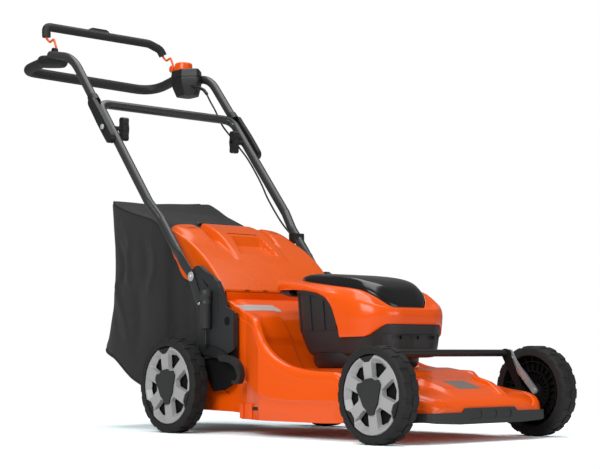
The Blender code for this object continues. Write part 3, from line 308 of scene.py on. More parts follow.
def loftShape(rings, caps=(True, True), closed=True):
    # Cross sections joined one to the next
    bm = bmesh.new()
    rows = [[bm.verts.new(point) for point in ring] for ring in rings]
    for low, high in zip(rows, rows[1:]):
        for i in range(len(low) if closed else len(low) - 1):
            k = (i + 1) % len(low)
            bm.faces.new((low[i], low[k], high[k], high[i]))
    if caps[0]:
        bm.faces.new(rows[0])
    if caps[1]:
        bm.faces.new(rows[-1])
    bmesh.ops.recalc_face_normals(bm, faces=bm.faces)
    return bm


def merged(*shapes):
    # Several closed shapes in one piece
    mesh = bpy.data.meshes.new("merged")
    bm = bmesh.new()
    for shape in shapes:
        shape.to_mesh(mesh)
        shape.free()
        bm.from_mesh(mesh)
    bpy.data.meshes.remove(mesh)
    return bm


def loose(bm):
    mesh = bpy.data.meshes.new("loose")
    bm.to_mesh(mesh)
    bm.free()
    obj = bpy.data.objects.new("loose", mesh)
    scene.collection.objects.link(obj)
    return obj


def evaluated(obj):
    # The object's shape with its modifiers applied; the object goes
    mesh = bpy.data.meshes.new_from_object(obj.evaluated_get(bpy.context.evaluated_depsgraph_get()))
    bm = bmesh.new()
    bm.from_mesh(mesh)
    bpy.data.meshes.remove(obj.data)
    bpy.data.meshes.remove(mesh)
    return bm


def carved(shape, *cutters, operation="DIFFERENCE"):
    # The shape with the cutters taken away, or joined to it
    body = loose(shape)
    helpers = [loose(cutter) for cutter in cutters]
    for helper in helpers:
        step = body.modifiers.new("carve", "BOOLEAN")
        step.operation = operation
        step.solver = "EXACT"
        step.object = helper
    bm = evaluated(body)
    for helper in helpers:
        bpy.data.meshes.remove(helper.data)
    return bm


def addPiece(name, bm, look, body, replaces=(), sharp=30, bevel=0.0, segments=2, wall=0.0, smooth=0):
    bmesh.ops.translate(bm, vec=toRow, verts=bm.verts)
    mesh = bpy.data.meshes.new(name)
    bm.to_mesh(mesh)
    bm.free()
    obj = bpy.data.objects.new(name, mesh)
    scene.collection.objects.link(obj)
    mesh.materials.append(looks[look])
    mesh.shade_smooth()
    mesh.set_sharp_from_angle(angle=math.radians(sharp))
    if wall:
        shell = obj.modifiers.new("wall", "SOLIDIFY")
        shell.thickness = wall
        shell.offset = -1
        shell.use_even_offset = True
    if smooth:
        fine = obj.modifiers.new("smooth", "SUBSURF")
        fine.levels = smooth
        fine.render_levels = smooth
    if bevel:
        edge = obj.modifiers.new("edge", "BEVEL")
        edge.width = bevel
        edge.segments = segments
        edge.limit_method = "ANGLE"
        edge.angle_limit = math.radians(sharp)
        edge.use_clamp_overlap = True
        normals = obj.modifiers.new("normals", "WEIGHTED_NORMAL")
        normals.keep_sharp = True
    if body:
        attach(obj, body)
    if replaces:
        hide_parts(*replaces)
    return obj


# The record's slot for each finish, and the looks of the CAD pieces that stay

slotOf = {
    "orange": "orange", "black": "black", "grey": "grey", "gloss": "lid", "tyre": "wheel", "hub": "hub",
    "steel": "steel", "zinc": "steel", "shade": "wheel", "tube": "tube", "copper": "copper", "board": "board",
    "label": "steel", "grip": "rubber", "cloth": "cloth", "rubber": "rubber", "wire": "wire", "flap": "orange",
    "tag": "steel",
}
lookOf = {slotName: look for look, slotName in reversed(slotOf.items())}
for part in frame["record"]["subparts"]:
    node = nodes[part["node"]]
    node.data.materials.clear()
    node.data.materials.append(looks[lookOf[part["material_slot"]]])


# Camera, floor and light

studio = dict(
    paper=(1.39, 1.54, 1.58), dull=0.80, shadowReach=1.0, floorSize=30, world=0.21,
    lens=85.43, cameraAt=(-2.2563, -2.4894, 0.1721), turned=-40.278, tipped=5.063, rolled=-0.304,
    aim=(0, 0, 0.4),
    # Place, size and power of each softbox
    lights=dict(
        top=((0.3, 0.2, 3.6), (2.8, 2.8), 84),
        key=((-3.4, -1.6, 2.2), (2.4, 2.0), 128),
        fill=((0.8, -3.9, 1.0), (2.2, 1.4), 34),
    ),
)


def makeStage():
    camera = bpy.data.objects.new("camera", bpy.data.cameras.new("camera"))
    camera.data.lens = studio["lens"]
    camera.data.sensor_width = 36.0
    turn = Matrix.Rotation(math.radians(studio["turned"]), 4, "Z")
    turn = turn @ Matrix.Rotation(math.radians(90 + studio["tipped"]), 4, "X")
    turn = turn @ Matrix.Rotation(math.radians(studio["rolled"]), 4, "Z")
    camera.matrix_world = Matrix.Translation(Vector(studio["cameraAt"]) + toRow) @ turn
    scene.collection.objects.link(camera)
    scene.camera = camera

    bm = bmesh.new()
    bmesh.ops.create_grid(bm, x_segments=1, y_segments=1, size=studio["floorSize"])
    mesh = bpy.data.meshes.new("floor")
    bm.to_mesh(mesh)
    bm.free()
    floor = bpy.data.objects.new("floor", mesh)
    floor.location.z = cadBox[0].z - 0.0002
    # Paper that takes the mower's shadow, is white further out and duller to light that bounces off it
    paper = bpy.data.materials.new("paper")
    paper.use_nodes = True
    tree = paper.node_tree
    tree.nodes.remove(tree.nodes["Principled BSDF"])
    place = tree.nodes.new("ShaderNodeTexCoord")
    away = tree.nodes.new("ShaderNodeVectorMath")
    away.operation = "LENGTH"
    fade = tree.nodes.new("ShaderNodeMapRange")
    fade.interpolation_type = "SMOOTHSTEP"
    fade.inputs["From Min"].default_value = studio["shadowReach"]
    fade.inputs["From Max"].default_value = studio["shadowReach"] * 1.5
    glow = tree.nodes.new("ShaderNodeEmission")
    glow.inputs["Color"].default_value = (1, 1, 1, 1)
    far = tree.nodes.new("ShaderNodeMixShader")
    dull = tree.nodes.new("ShaderNodeBsdfDiffuse")
    dull.inputs["Color"].default_value = (studio["dull"], studio["dull"], studio["dull"], 1)
    bright = tree.nodes.new("ShaderNodeBsdfDiffuse")
    bright.inputs["Color"].default_value = (*studio["paper"], 1)
    seen = tree.nodes.new("ShaderNodeLightPath")
    blend = tree.nodes.new("ShaderNodeMixShader")
    wire(tree, seen.outputs["Is Camera Ray"], blend.inputs["Fac"])
    wire(tree, dull.outputs["BSDF"], blend.inputs[1])
    wire(tree, place.outputs["Object"], away.inputs[0])
    wire(tree, away.outputs["Value"], fade.inputs["Value"])
    wire(tree, fade.outputs["Result"], far.inputs["Fac"])
    wire(tree, bright.outputs["BSDF"], far.inputs[1])
    wire(tree, glow.outputs["Emission"], far.inputs[2])
    wire(tree, far.outputs["Shader"], blend.inputs[2])
    wire(tree, blend.outputs["Shader"], tree.nodes["Material Output"].inputs["Surface"])
    mesh.materials.append(paper)
    scene.collection.objects.link(floor)

    for name, (place, size, power) in studio["lights"].items():
        lamp = bpy.data.lights.new(name, "AREA")
        lamp.shape = "RECTANGLE"
        lamp.size, lamp.size_y = size
        lamp.energy = power
        holder = bpy.data.objects.new(name, lamp)
        place, aim = Vector(place), Vector(studio["aim"])
        holder.matrix_world = Matrix.Translation(place) @ (aim - place).to_track_quat("-Z", "Y").to_matrix().to_4x4()
        scene.collection.objects.link(holder)

    world = bpy.data.worlds.new("studio")
    scene.world = world
    world.use_nodes = True
    tree = world.node_tree
    dim = tree.nodes["Background"]
    dim.inputs["Color"].default_value = (1, 1, 1, 1)
    dim.inputs["Strength"].default_value = studio["world"]
    white = tree.nodes.new("ShaderNodeBackground")
    white.inputs["Color"].default_value = (1, 1, 1, 1)
    white.inputs["Strength"].default_value = 1.0
    path = tree.nodes.new("ShaderNodeLightPath")
    mix = tree.nodes.new("ShaderNodeMixShader")
    wire(tree, path.outputs["Is Camera Ray"], mix.inputs["Fac"])
    wire(tree, dim.outputs["Background"], mix.inputs[1])
    wire(tree, white.outputs["Background"], mix.inputs[2])
    wire(tree, mix.outputs["Shader"], tree.nodes["World Output"].inputs["Surface"])
    scene.view_settings.view_transform = "Standard"


makeStage()
print("stage made")


# Wheels: tyre with two rows of blocks, ribbed black body darkened as painted shade, spoked cover, shield cap

wheel = dict(
    ends=(("front", -0.360, 0.1015), ("rear", 0.360, 0.1145)),  # name, place along the mower, radius
    outer=0.2690, width=0.0466, hubShare=0.825, shoulderShare=0.93, groove=(0.0215, 0.0250),
    lug=0.0022, blocks=20, cells=6, blockCells=4,
    bore=0.0063, hub=0.0165, hubEnd=0.2448, floor=(0.2480, 0.2520), hoops=(0.52, 0.78), ribs=24, rib=0.0016,
    face=0.2672, coverDepth=0.0110, fillerDepth=0.0140, fillerAt=0.2592, capDepth=0.0045, turned=8.0,
    notchesAt=(90, 210, 330),
    # Cut-outs of the cover as (share of its radius, angle), and one half of the cap's outline
    recess=((0.44, -11), (0.93, -20), (0.955, 0), (0.93, 20), (0.44, 11)),
    window=((0.46, -10), (0.80, -17), (0.835, 0), (0.80, 17), (0.46, 10)),
    filler=((1.000, -15.2), (0.850, -6.0), (0.850, 6.0), (1.000, 15.2)),
    notch=((1.12, -20.5), (0.83, -6.5), (0.83, 6.5), (1.12, 20.5)),
    cap=((-0.13, 0.40), (0.13, 0.40), (0.22, 0.33), (0.37, 0.33), (0.43, 0.20), (0.38, 0.06), (0.33, -0.04),
         (0.26, -0.24), (0.15, -0.36), (0.09, -0.49)),
)


def polar(size, points, turn):
    angles = [math.radians(turn + a) for r, a in points]
    return [(size * r * math.cos(a), size * r * math.sin(a)) for (r, _), a in zip(points, angles)]


def tyreShape(radius):
    outer, inner = wheel["outer"], wheel["outer"] - wheel["width"]
    rim, tread, shoulder = radius * wheel["hubShare"], radius - wheel["lug"], radius * wheel["shoulderShare"]
    groove = [inner + away for away in wheel["groove"]]
    profile = [
        (rim - 0.0035, inner), (shoulder - 0.004, inner), (shoulder, inner + 0.001), (tread, inner + 0.005),
        (tread, groove[0]), (tread, groove[1]), (tread, outer - 0.004), (shoulder, outer - 0.0008),
        (shoulder - 0.0035, outer), (rim + 0.004, outer), (rim + 0.002, outer - 0.0012), (rim, outer - 0.0012),
        (rim, inner + 0.003), (rim - 0.0035, inner + 0.002), (rim - 0.0035, inner),
    ]
    steps = wheel["blocks"] * wheel["cells"]
    bm = spunShape(profile, (0, 0, 0), (1, 0, 0), steps)
    blocks = []
    for face in bm.faces:
        middle = face.calc_center_median()
        far = middle.yz.length
        if far < shoulder + 0.0002 or groove[0] < middle.x < groove[1]:
            continue
        cell = round(math.atan2(middle.y, middle.z) / (2 * math.pi) * steps - 0.5) % wheel["cells"]
        start = 0 if middle.x < groove[0] else wheel["cells"] // 2
        if (cell - start) % wheel["cells"] < wheel["blockCells"]:
            blocks.append(face)
    raised = bmesh.ops.extrude_face_region(bm, geom=blocks)["geom"]
    bmesh.ops.delete(bm, geom=blocks, context="FACES_KEEP_BOUNDARY")
    for vert in [item for item in raised if isinstance(item, bmesh.types.BMVert)]:
        far = vert.co.yz.length
        grown = radius if far > tread - 0.0005 else far + wheel["lug"] * 0.8
        vert.co.yz *= grown / far
    bmesh.ops.recalc_face_normals(bm, faces=bm.faces)
    return bm


def rimShape(radius):
    outer, inner = wheel["outer"], wheel["outer"] - wheel["width"]
    rim = radius * wheel["hubShare"]
    bore, hubEnd = wheel["bore"], wheel["hubEnd"]
    floorIn, floorOut = wheel["floor"]
    profile = [
        (bore, hubEnd), (wheel["hub"], hubEnd), (wheel["hub"] + 0.0015, floorIn), (rim - 0.0080, floorIn),
        (rim - 0.0050, inner + 0.0025), (rim - 0.0005, inner + 0.0025), (rim - 0.0005, outer - 0.0100),
        (rim - 0.0040, outer - 0.0100), (rim - 0.0060, floorOut), (bore, floorOut), (bore, hubEnd),
    ]
    shapes = [spunShape(profile, (0, 0, 0), (1, 0, 0), 96)]
    for share in wheel["hoops"]:
        ringRadius = rim * share
        ring = [(ringRadius, inner + 0.012), (ringRadius + 0.002, inner + 0.012),
                (ringRadius + 0.002, floorIn + 0.001), (ringRadius, floorIn + 0.001), (ringRadius, inner + 0.012)]
        shapes.append(spunShape(ring, (0, 0, 0), (1, 0, 0), 96))
    thin = wheel["rib"] / 2
    for k in range(wheel["ribs"]):
        rib = loftShape([
            [(x, y, far) for x, y in ((near, -thin), (floorIn + 0.001, -thin), (floorIn + 0.001, thin), (near, thin))]
            for near, far in ((inner + 0.010, rim - 0.0066), (hubEnd + 0.0004, wheel["hub"] + 0.0005))
        ])
        bmesh.ops.rotate(rib, cent=(0, 0, 0), matrix=Matrix.Rotation(2 * math.pi * k / wheel["ribs"], 3, "X"),
                         verts=rib.verts)
        shapes.append(rib)
    return merged(*shapes)


def fillerShape(radius):
    # Tyre coloured wedges that stand in the cover's three notches
    edge = radius * wheel["hubShare"] - 0.0015
    wedges = []
    for turn in wheel["notchesAt"]:
        outline = roundedPath(polar(edge, wheel["filler"], turn + wheel["turned"]), 0.003, True, 3)
        wedges.append(slabShape(outline, wheel["fillerDepth"], wheel["fillerAt"], "x"))
    return merged(*wedges)


def coverShape(radius):
    edge = radius * wheel["hubShare"] - 0.0015
    face, back = wheel["face"], wheel["face"] - wheel["coverDepth"]
    profile = [
        (0.0, face + 0.0004), (edge * 0.5, face + 0.0003), (edge * 0.9, face), (edge - 0.0016, face - 0.0006),
        (edge, face - 0.0022), (edge, back), (0.0, back),
    ]
    disc = spunShape(profile, (0, 0, 0), (1, 0, 0), 120)
    cutters = []
    for k in range(6):
        turn = 60 * k + wheel["turned"] + 60
        high = roundedPath(polar(edge, wheel["recess"], turn), 0.0050, True, 5)
        low = roundedPath(polar(edge, wheel["window"], turn), 0.0040, True, 5)
        rings = []
        for x, share in ((face + 0.0030, -0.30), (face - 0.0002, 0.0), (back + 0.0015, 1.0), (back - 0.0010, 1.0)):
            rings.append([(x, a[0] + (b[0] - a[0]) * share, a[1] + (b[1] - a[1]) * share) for a, b in zip(high, low)])
        cutters.append(loftShape(rings))
    for turn in wheel["notchesAt"]:
        outline = roundedPath(polar(edge, wheel["notch"], turn + wheel["turned"]), 0.0035, True, 4)
        cutters.append(slabShape(outline, 0.030, face, "x"))
    return carved(disc, *cutters)


def capShape(radius):
    rim = radius * wheel["hubShare"]
    points = list(wheel["cap"])
    points += [(-x, z) for x, z in reversed(points[2:])]
    outline = roundedPath([Vector(p) * rim for p in points], 0.0050, True, 4)
    turn = Matrix.Rotation(math.radians(wheel["turned"]), 2)
    return slabShape([turn @ p for p in outline], wheel["capDepth"], wheel["outer"], "x")


for end, centreY, radius in wheel["ends"]:
    for side, sign in (("right", -1), ("left", 1)):
        name = end + "_" + side
        body = "wheel_" + name
        for kind, shape, look, old, bevel, sharp in (
            ("tyre", tyreShape(radius), "tyre", "wheel_", 0.0006, 30),
            # The ribbed body is black plastic, coloured near-black as painted shade for the wheel's shaded inside
            ("rim", rimShape(radius), "shade", None, 0.0, 30),
            ("cover", coverShape(radius), "hub", "wheel_cover_", 0.0009, 28),
            ("cap", capShape(radius), "grey", "wheel_cap_", 0.0014, 30),
            ("filler", fillerShape(radius), "tyre", None, 0.0008, 30),
        ):
            if sign < 0:
                bmesh.ops.rotate(shape, cent=(0, 0, 0), matrix=Matrix.Rotation(math.pi, 3, "Z"), verts=shape.verts)
            bmesh.ops.translate(shape, vec=(0, centreY, radius), verts=shape.verts)
            addPiece(kind + "_" + name, shape, look, body, [old + name] if old else (), sharp, bevel, 2)
print("wheels made")


# Deck: one moulded shell lofted along its length, with the raised nose, ramp recess and rear tabs

deck = dict(
    wall=0.0030, step=0.0042, rimRound=((0.100, 0.011), (0.140, 0.0045)), band=0.021, bandStep=0.0014, spacing=0.0058,
    columns=(0.128, 0.0965, 0.0895, 0.082, 0.070, 0.052, 0.035, 0.018),
    kinks=(0.0615, 0.1028, 0.1375),
    lift=((-0.430, 0.0), (-0.405, 0.004), (-0.385, 0.0075), (-0.320, 0.0110), (-0.300, 0.005), (-0.280, 0.0)),
    dip=((-0.005, 0.0), (0.020, 0.006), (0.150, 0.007), (0.162, 0.0)),
    bowl=((0.005, 0.0), (0.045, 0.0085), (0.1020, 0.0105), (0.1036, 0.0)), channel=((0.015, 0.026), (0.150, 0.0)),
    stations=(
        # y, half width, bottom, wall crease, rim, inside of the rim, middle
        (-0.4410, 0.158, 0.0460, 0.0560, 0.0740, 0.0745, 0.0760),
        (-0.4365, 0.169, 0.0455, 0.0570, 0.0800, 0.0815, 0.0840),
        (-0.4300, 0.178, 0.0450, 0.0580, 0.0850, 0.0870, 0.0890),
        (-0.4120, 0.192, 0.0440, 0.0600, 0.0930, 0.0955, 0.0975),
        (-0.3820, 0.199, 0.0430, 0.0640, 0.1010, 0.1040, 0.1070),
        (-0.3050, 0.200, 0.0420, 0.0700, 0.1100, 0.1160, 0.1265),
        (-0.2890, 0.201, 0.0410, 0.0740, 0.1120, 0.1190, 0.1340),
        (-0.2500, 0.206, 0.0400, 0.0800, 0.1190, 0.1250, 0.1470),
        (-0.2200, 0.219, 0.0390, 0.0840, 0.1330, 0.1360, 0.1520),
        (-0.1950, 0.225, 0.0380, 0.0850, 0.1470, 0.1440, 0.1547),
        (-0.1240, 0.225, 0.0370, 0.0850, 0.1500, 0.1460, 0.1547),
        (-0.0560, 0.225, 0.0370, 0.0850, 0.1580, 0.1490, 0.1547),
        (0.0000, 0.225, 0.0370, 0.0870, 0.1760, 0.1520, 0.1547),
        (0.0430, 0.2245, 0.0370, 0.0930, 0.2035, 0.1600, 0.1547),
        (0.0615, 0.2236, 0.0370, 0.0985, 0.2230, 0.1700, 0.1580),
        (0.0770, 0.2185, 0.0370, 0.1030, 0.2410, 0.1880, 0.1760),
        (0.0980, 0.2116, 0.0370, 0.1110, 0.2690, 0.2180, 0.2160),
        (0.1250, 0.2027, 0.0370, 0.1220, 0.2800, 0.2590, 0.2600),
        (0.1375, 0.1986, 0.0370, 0.1270, 0.2840, 0.2750, 0.2760),
        (0.1550, 0.1965, 0.0370, 0.1330, 0.2885, 0.2890, 0.2895),
        (0.1650, 0.1945, 0.0370, 0.1350, 0.2932, 0.2938, 0.2942),
        (0.1710, 0.193, 0.0510, 0.1360, 0.2962, 0.2968, 0.2972),
        (0.1900, 0.191, 0.0520, 0.1380, 0.3026, 0.3032, 0.3036),
        (0.2000, 0.190, 0.0525, 0.1390, 0.3080, 0.3120, 0.3120),
        (0.2250, 0.190, 0.0530, 0.1400, 0.3170, 0.3210, 0.3210),
        (0.3200, 0.190, 0.0550, 0.1400, 0.3180, 0.3220, 0.3220),
    ),
    shaftHole=(0.0000, -0.0620, 0.0330), bar=(-0.3100, 0.1870, 0.0082), rod=(0.2500, 0.3370, 0.0033),
    chute=((0.165, 0.058), (0.318, 0.150), (0.318, 0.154), (0.163, 0.061)),
    # Upright lugs for the flap's rod, the wall under the flap, and ribs (low y, high y, far x) at the rear corners
    lug=((0.2480, 0.3170), (0.2550, 0.3170), (0.2560, 0.3380), (0.2535, 0.3430), (0.2465, 0.3430), (0.2445, 0.3385),
         (0.2452, 0.3350), (0.2480, 0.3325)),
    lugAt=0.170, lugWidth=0.010, sill=((-0.184, 0.2290, 0.3000), (0.184, 0.2325, 0.3375)),
    cornerRibs=((0.1020, 0.1180, 0.2085), (0.1300, 0.1380, 0.1995), (0.1500, 0.1640, 0.1960)), ribHigh=(0.0385, 0.0730),
)


def deckSlice(y):
    def track(column):
        return [(row[0], row[column]) for row in deck["stations"]]

    half = between(track(1), y)
    bottom, crease, rim, inner, middle = (smoothBetween(track(k), y) for k in (2, 3, 4, 5, 6))
    step = deck["step"]
    curl = min(between(deck["rimRound"], y), (rim - crease) * 0.45)
    band = min(deck["band"], (rim - crease) * 0.55)
    # Skirt, the wall's overhanging lower edge, and the wall
    side = [(half - step - 0.0005, bottom), (half - step, bottom + 0.002), (half - step, crease - 0.0085)]
    side += [(half - 0.0004, crease), (half, crease + 0.0012), (half - 0.0010, crease + 0.0050)]
    side += [(half - 0.0014, rim - band - 0.0008), (half - 0.0014 - deck["bandStep"], rim - band + 0.0010)]
    edge = half - 0.0018 - deck["bandStep"]
    for k in range(9):
        a = math.pi / 2 * k / 8
        side.append((edge - curl * (1 - math.cos(a)), rim - curl + curl * math.sin(a)))
    sunken = between(((0.125, 1.0), (0.150, 0.0)), y)
    side += [(half - 0.0195, rim + 0.0004 * sunken), (half - 0.0230, rim - 0.0008 * sunken)]
    drop = rim - inner
    bowl = between(deck["bowl"], y)
    side += [(half - 0.0265, rim - 0.0035 * sunken - drop * 0.12), (half - 0.0350, inner + drop * 0.30 - bowl * 0.6)]
    side += [(half - 0.0420, inner - bowl), ((half - 0.042 + 0.130) / 2, (inner + middle) / 2 - bowl)]
    raised = between(deck["lift"], y)
    sunk = between(deck["dip"], y)
    narrow = between(deck["channel"], y) if y > 0.0 else 0.0
    for column in deck["columns"]:
        x = column - narrow * min(1.0, max(0.0, (column - 0.040) / 0.045) * max(0.0, (0.128 - column) / 0.020))
        lifted = max(0.0, min(1.0, (0.094 - column) / 0.012))
        side.append((x, middle + raised * lifted - bowl - (sunk if column < 0.093 else 0.0)))
    right = [(-x, y, z) for x, z in side]
    left = [(x, y, z) for x, z in reversed(side)]
    return right + [(0, y, middle + raised - sunk - bowl)] + left


def deckShape():
    rows = [row[0] for row in deck["stations"]]
    places = [rows[0]]
    for low, high in zip(rows, rows[1:]):
        count = max(1, round((high - low) / deck["spacing"]))
        places += [low + (high - low) * k / count for k in range(1, count + 1)]
    places = sorted(places + [y + away for y in deck["kinks"] for away in (-0.0009, 0.0009)])
    bm = loftShape([deckSlice(y) for y in places], (True, False), closed=False)
    top = max(bm.faces, key=lambda face: face.calc_center_median().z)
    if top.normal.z < 0:
        bmesh.ops.reverse_faces(bm, faces=bm.faces)
    skin = loose(bm)
    shell = skin.modifiers.new("wall", "SOLIDIFY")
    shell.thickness = deck["wall"]
    shell.offset = -1
    shell.use_even_offset = True
    solid = evaluated(skin)
    x, y, radius = deck["shaftHole"]
    rodY, rodZ, rodHole = deck["rod"]
    adds = [slabShape(deck["chute"], 0.376, 0.0, "x")]
    for sign in (-1, 1):
        adds.append(slabShape(deck["lug"], deck["lugWidth"], sign * deck["lugAt"], "x"))
        for low, high, out in deck["cornerRibs"]:
            foot, top = deck["ribHigh"]
            adds.append(sideBox(sign, (0.188, out), (low, high), (foot, top)))
    adds.append(boxShape(*deck["sill"]))
    solid = carved(solid, *adds, operation="UNION")
    return carved(
        solid, rodShape((x, y, 0.12), (x, y, 0.20), radius, 48),
        rodShape((-0.2, rodY, rodZ), (0.2, rodY, rodZ), rodHole, 16),
    )


addPiece("deck_shell", deckShape(), "orange", "chassis", ["deck"], sharp=24)


# Small parts on the deck: blank labels, dark pins, bar supports drawn as thin near-black strips that also paint the
# crank's shadow, nose tab

deckTrim = dict(
    ledgeLabel=(-0.1850, -0.0720, 0.1590, 0.1930), noseLabel=(-0.0390, 0.0270, -0.3920, -0.3420), lift=0.0006,
    support=((-0.3100, 0.1870), (-0.3500, 0.1080)), strap=(0.0200, 0.0130), strapAt=0.2015, strapThick=0.0070,
    foot=((0.186, 0.204), (-0.3640, -0.3320), (0.0840, 0.1100)),
    pin=((0.0700, 0.2178), (0.1010, 0.2080)), pinFrom=0.2030, pinLow=0.0590, pinHigh=0.0665,
    # Nose tab: y, then low and high z, and the four corners' x
    tab=(
        (-0.322, 0.1250, 0.1375, (0.074, 0.090, 0.088, 0.076)), (-0.372, 0.1120, 0.1240, (0.070, 0.090, 0.087, 0.073)),
        (-0.402, 0.0980, 0.1100, (0.058, 0.088, 0.083, 0.063)),
    ),
    tabEnd=((0.056, -0.420, 0.0880), (0.088, -0.420, 0.0880), (0.082, -0.419, 0.0980), (0.062, -0.419, 0.0980)),
)


def topOf(x, y):
    points = sorted((p[0], p[2]) for p in deckSlice(y) if p[2] > 0.075 and abs(p[0]) < 0.186)
    return between(points, x)


def labelShape(x0, x1, y0, y1):
    # A thin sheet that follows the deck
    rings = []
    for k in range(13):
        y = y0 + (y1 - y0) * k / 12
        line = [(x0 + (x1 - x0) * i / 24, y) for i in range(25)]
        ring = [(*p, topOf(*p) - 0.0006) for p in line]
        rings.append(ring + [(*p, topOf(*p) + deckTrim["lift"]) for p in reversed(line)])
    return loftShape(rings)


addPiece("ledge_label", labelShape(*deckTrim["ledgeLabel"]), "label", "chassis")
addPiece("nose_label", labelShape(*deckTrim["noseLabel"]), "tag", "chassis")
for side, sign in (("right", -1), ("left", 1)):
    # Bar support: a thin near-black strip behind the crank's rear edge, partly the real support and partly the crank's
    # painted shadow
    outline = barOutline(deckTrim["support"], deckTrim["strap"])
    barHole = ringOf(deck["bar"][:2], deck["bar"][2], 32)
    support = slabShape(outline, deckTrim["strapThick"], sign * deckTrim["strapAt"], "x", [barHole])
    foot = sideBox(sign, *deckTrim["foot"])
    addPiece("bar_support_shadow_" + side, carved(support, foot, operation="UNION"), "shade", "chassis", bevel=0.0012)
    near, low, high = deckTrim["pinFrom"], deckTrim["pinLow"], deckTrim["pinHigh"]
    rings = [[(sign * x, y, z) for x, z in ((near, low), (out, low), (out, high), (near, high))]
             for y, out in deckTrim["pin"]]
    addPiece("skirt_pin_" + side, loftShape(rings), "black", "chassis", bevel=0.0010)
rings = [[(x, y, z) for x, z in zip(corners, (low, low, high, high))] for y, low, high, corners in deckTrim["tab"]]
addPiece("nose_tab", loftShape(rings + [deckTrim["tabEnd"]]), "orange", "chassis", bevel=0.0022, segments=3)
print("deck made")


# Bumper: dark lip round the nose, raised in the middle with three shallow recesses

bumper = dict(
    # Corner (x, y) of the deck's nose, and how far the lip stands off it there
    nose=((0.1990, -0.3800), (0.1960, -0.3990), (0.1880, -0.4190), (0.1795, -0.4318), (0.159, -0.4413),
          (0.095, -0.4414)),
    away=((0.0040, 0.0), (0.0038, -0.0010), (0.0030, -0.0030), (0.0018, -0.0042), (0.0010, -0.0045), (0.0, -0.0045)),
    low=0.0390, high=0.0635, rise=((0.096, 0.0), (0.159, 0.0030), (0.185, 0.0060), (0.210, 0.0070)),
    middle=((-0.092, 0.0390), (0.092, 0.0390), (0.088, 0.0600), (0.075, 0.0722), (-0.075, 0.0722), (-0.088, 0.0600)),
    middleThick=0.0046, middleAt=-0.4437, recesses=(-0.046, 0.0, 0.046), recessDepth=0.0030, recessAt=-0.4461,
    recess=((-0.0190, 0.0500), (0.0150, 0.0500), (0.0190, 0.0600), (0.0150, 0.0675), (-0.0150, 0.0675),
            (-0.0190, 0.0600)),
)
nose = [Vector(p) for p in bumper["nose"]]
inner = [Vector((-p.x, p.y)) for p in nose] + nose[::-1]
outer = [p + Vector(away) for p, away in zip(nose, bumper["away"])]
outer += [Vector((-p.x, p.y)) for p in reversed(outer)]
band = slabShape(inner + outer, bumper["high"] - bumper["low"], (bumper["high"] + bumper["low"]) / 2, "z")
for vert in band.verts:
    if vert.co.z < (bumper["low"] + bumper["high"]) / 2:
        vert.co.z += between(bumper["rise"], abs(vert.co.x))
middlePlate = slabShape(bumper["middle"], bumper["middleThick"], bumper["middleAt"], "y")
band = carved(band, middlePlate, operation="UNION")
dents = [
    slabShape([(x + dx, z) for dx, z in bumper["recess"]], bumper["recessDepth"], bumper["recessAt"], "y")
    for x in bumper["recesses"]
]
addPiece("bumper_trim", carved(band, *dents), "grey", "chassis", ["front_bumper"], bevel=0.0009)
print("bumper made")


# Motor base, hood body, shell and lid

def planPoints(half, front, rear, radius, arc=10, side=26, square=1.0):
    # A rounded rectangle seen from above, from the front right corner, with points along its sides too;
    # a power below 1 makes the rear corners squarer
    made = []
    corners = (
        (-half + radius, front + radius, 180), (half - radius, front + radius, 270),
        (half - radius, rear - radius, 0), (-half + radius, rear - radius, 90),
    )
    for index, (x, y, start) in enumerate(corners):
        for k in range(arc + 1):
            a = math.radians(start + 90 * k / arc)
            power = square if index > 1 else 1.0
            c, s = (math.copysign(abs(v) ** power, v) if abs(v) > 1e-9 else 0.0 for v in (math.cos(a), math.sin(a)))
            made.append((x + radius * c, y + radius * s))
        ahead = corners[(index + 1) % 4]
        last = made[-1]
        a = math.radians(ahead[2])
        goal = (ahead[0] + radius * math.cos(a), ahead[1] + radius * math.sin(a))
        count = side if index in (1, 3) else side // 2
        made += [
            (last[0] + (goal[0] - last[0]) * k / count, last[1] + (goal[1] - last[1]) * k / count)
            for k in range(1, count)
        ]
    return made


def smoothRings(rings, steps=6, tight=()):
    # Rings filled in along smooth lines; a ring named in tight keeps a crease
    made = []
    for i in range(len(rings) - 1):
        before = rings[i - 1] if i > 0 and i not in tight else None
        after = rings[i + 2] if i + 2 < len(rings) and i + 1 not in tight else None
        for step in range(steps):
            t = step / steps
            ring = []
            for k, (a, b) in enumerate(zip(rings[i], rings[i + 1])):
                a, b = Vector(a), Vector(b)
                out = (b - Vector(before[k])) / 2 if before else b - a
                into = (Vector(after[k]) - a) / 2 if after else b - a
                ring.append(
                    a * (1 + 2 * t) * (1 - t) ** 2 + out * t * (1 - t) ** 2
                    + b * t * t * (3 - 2 * t) + into * t * t * (t - 1)
                )
            made.append(ring)
    made.append([Vector(p) for p in rings[-1]])
    return made


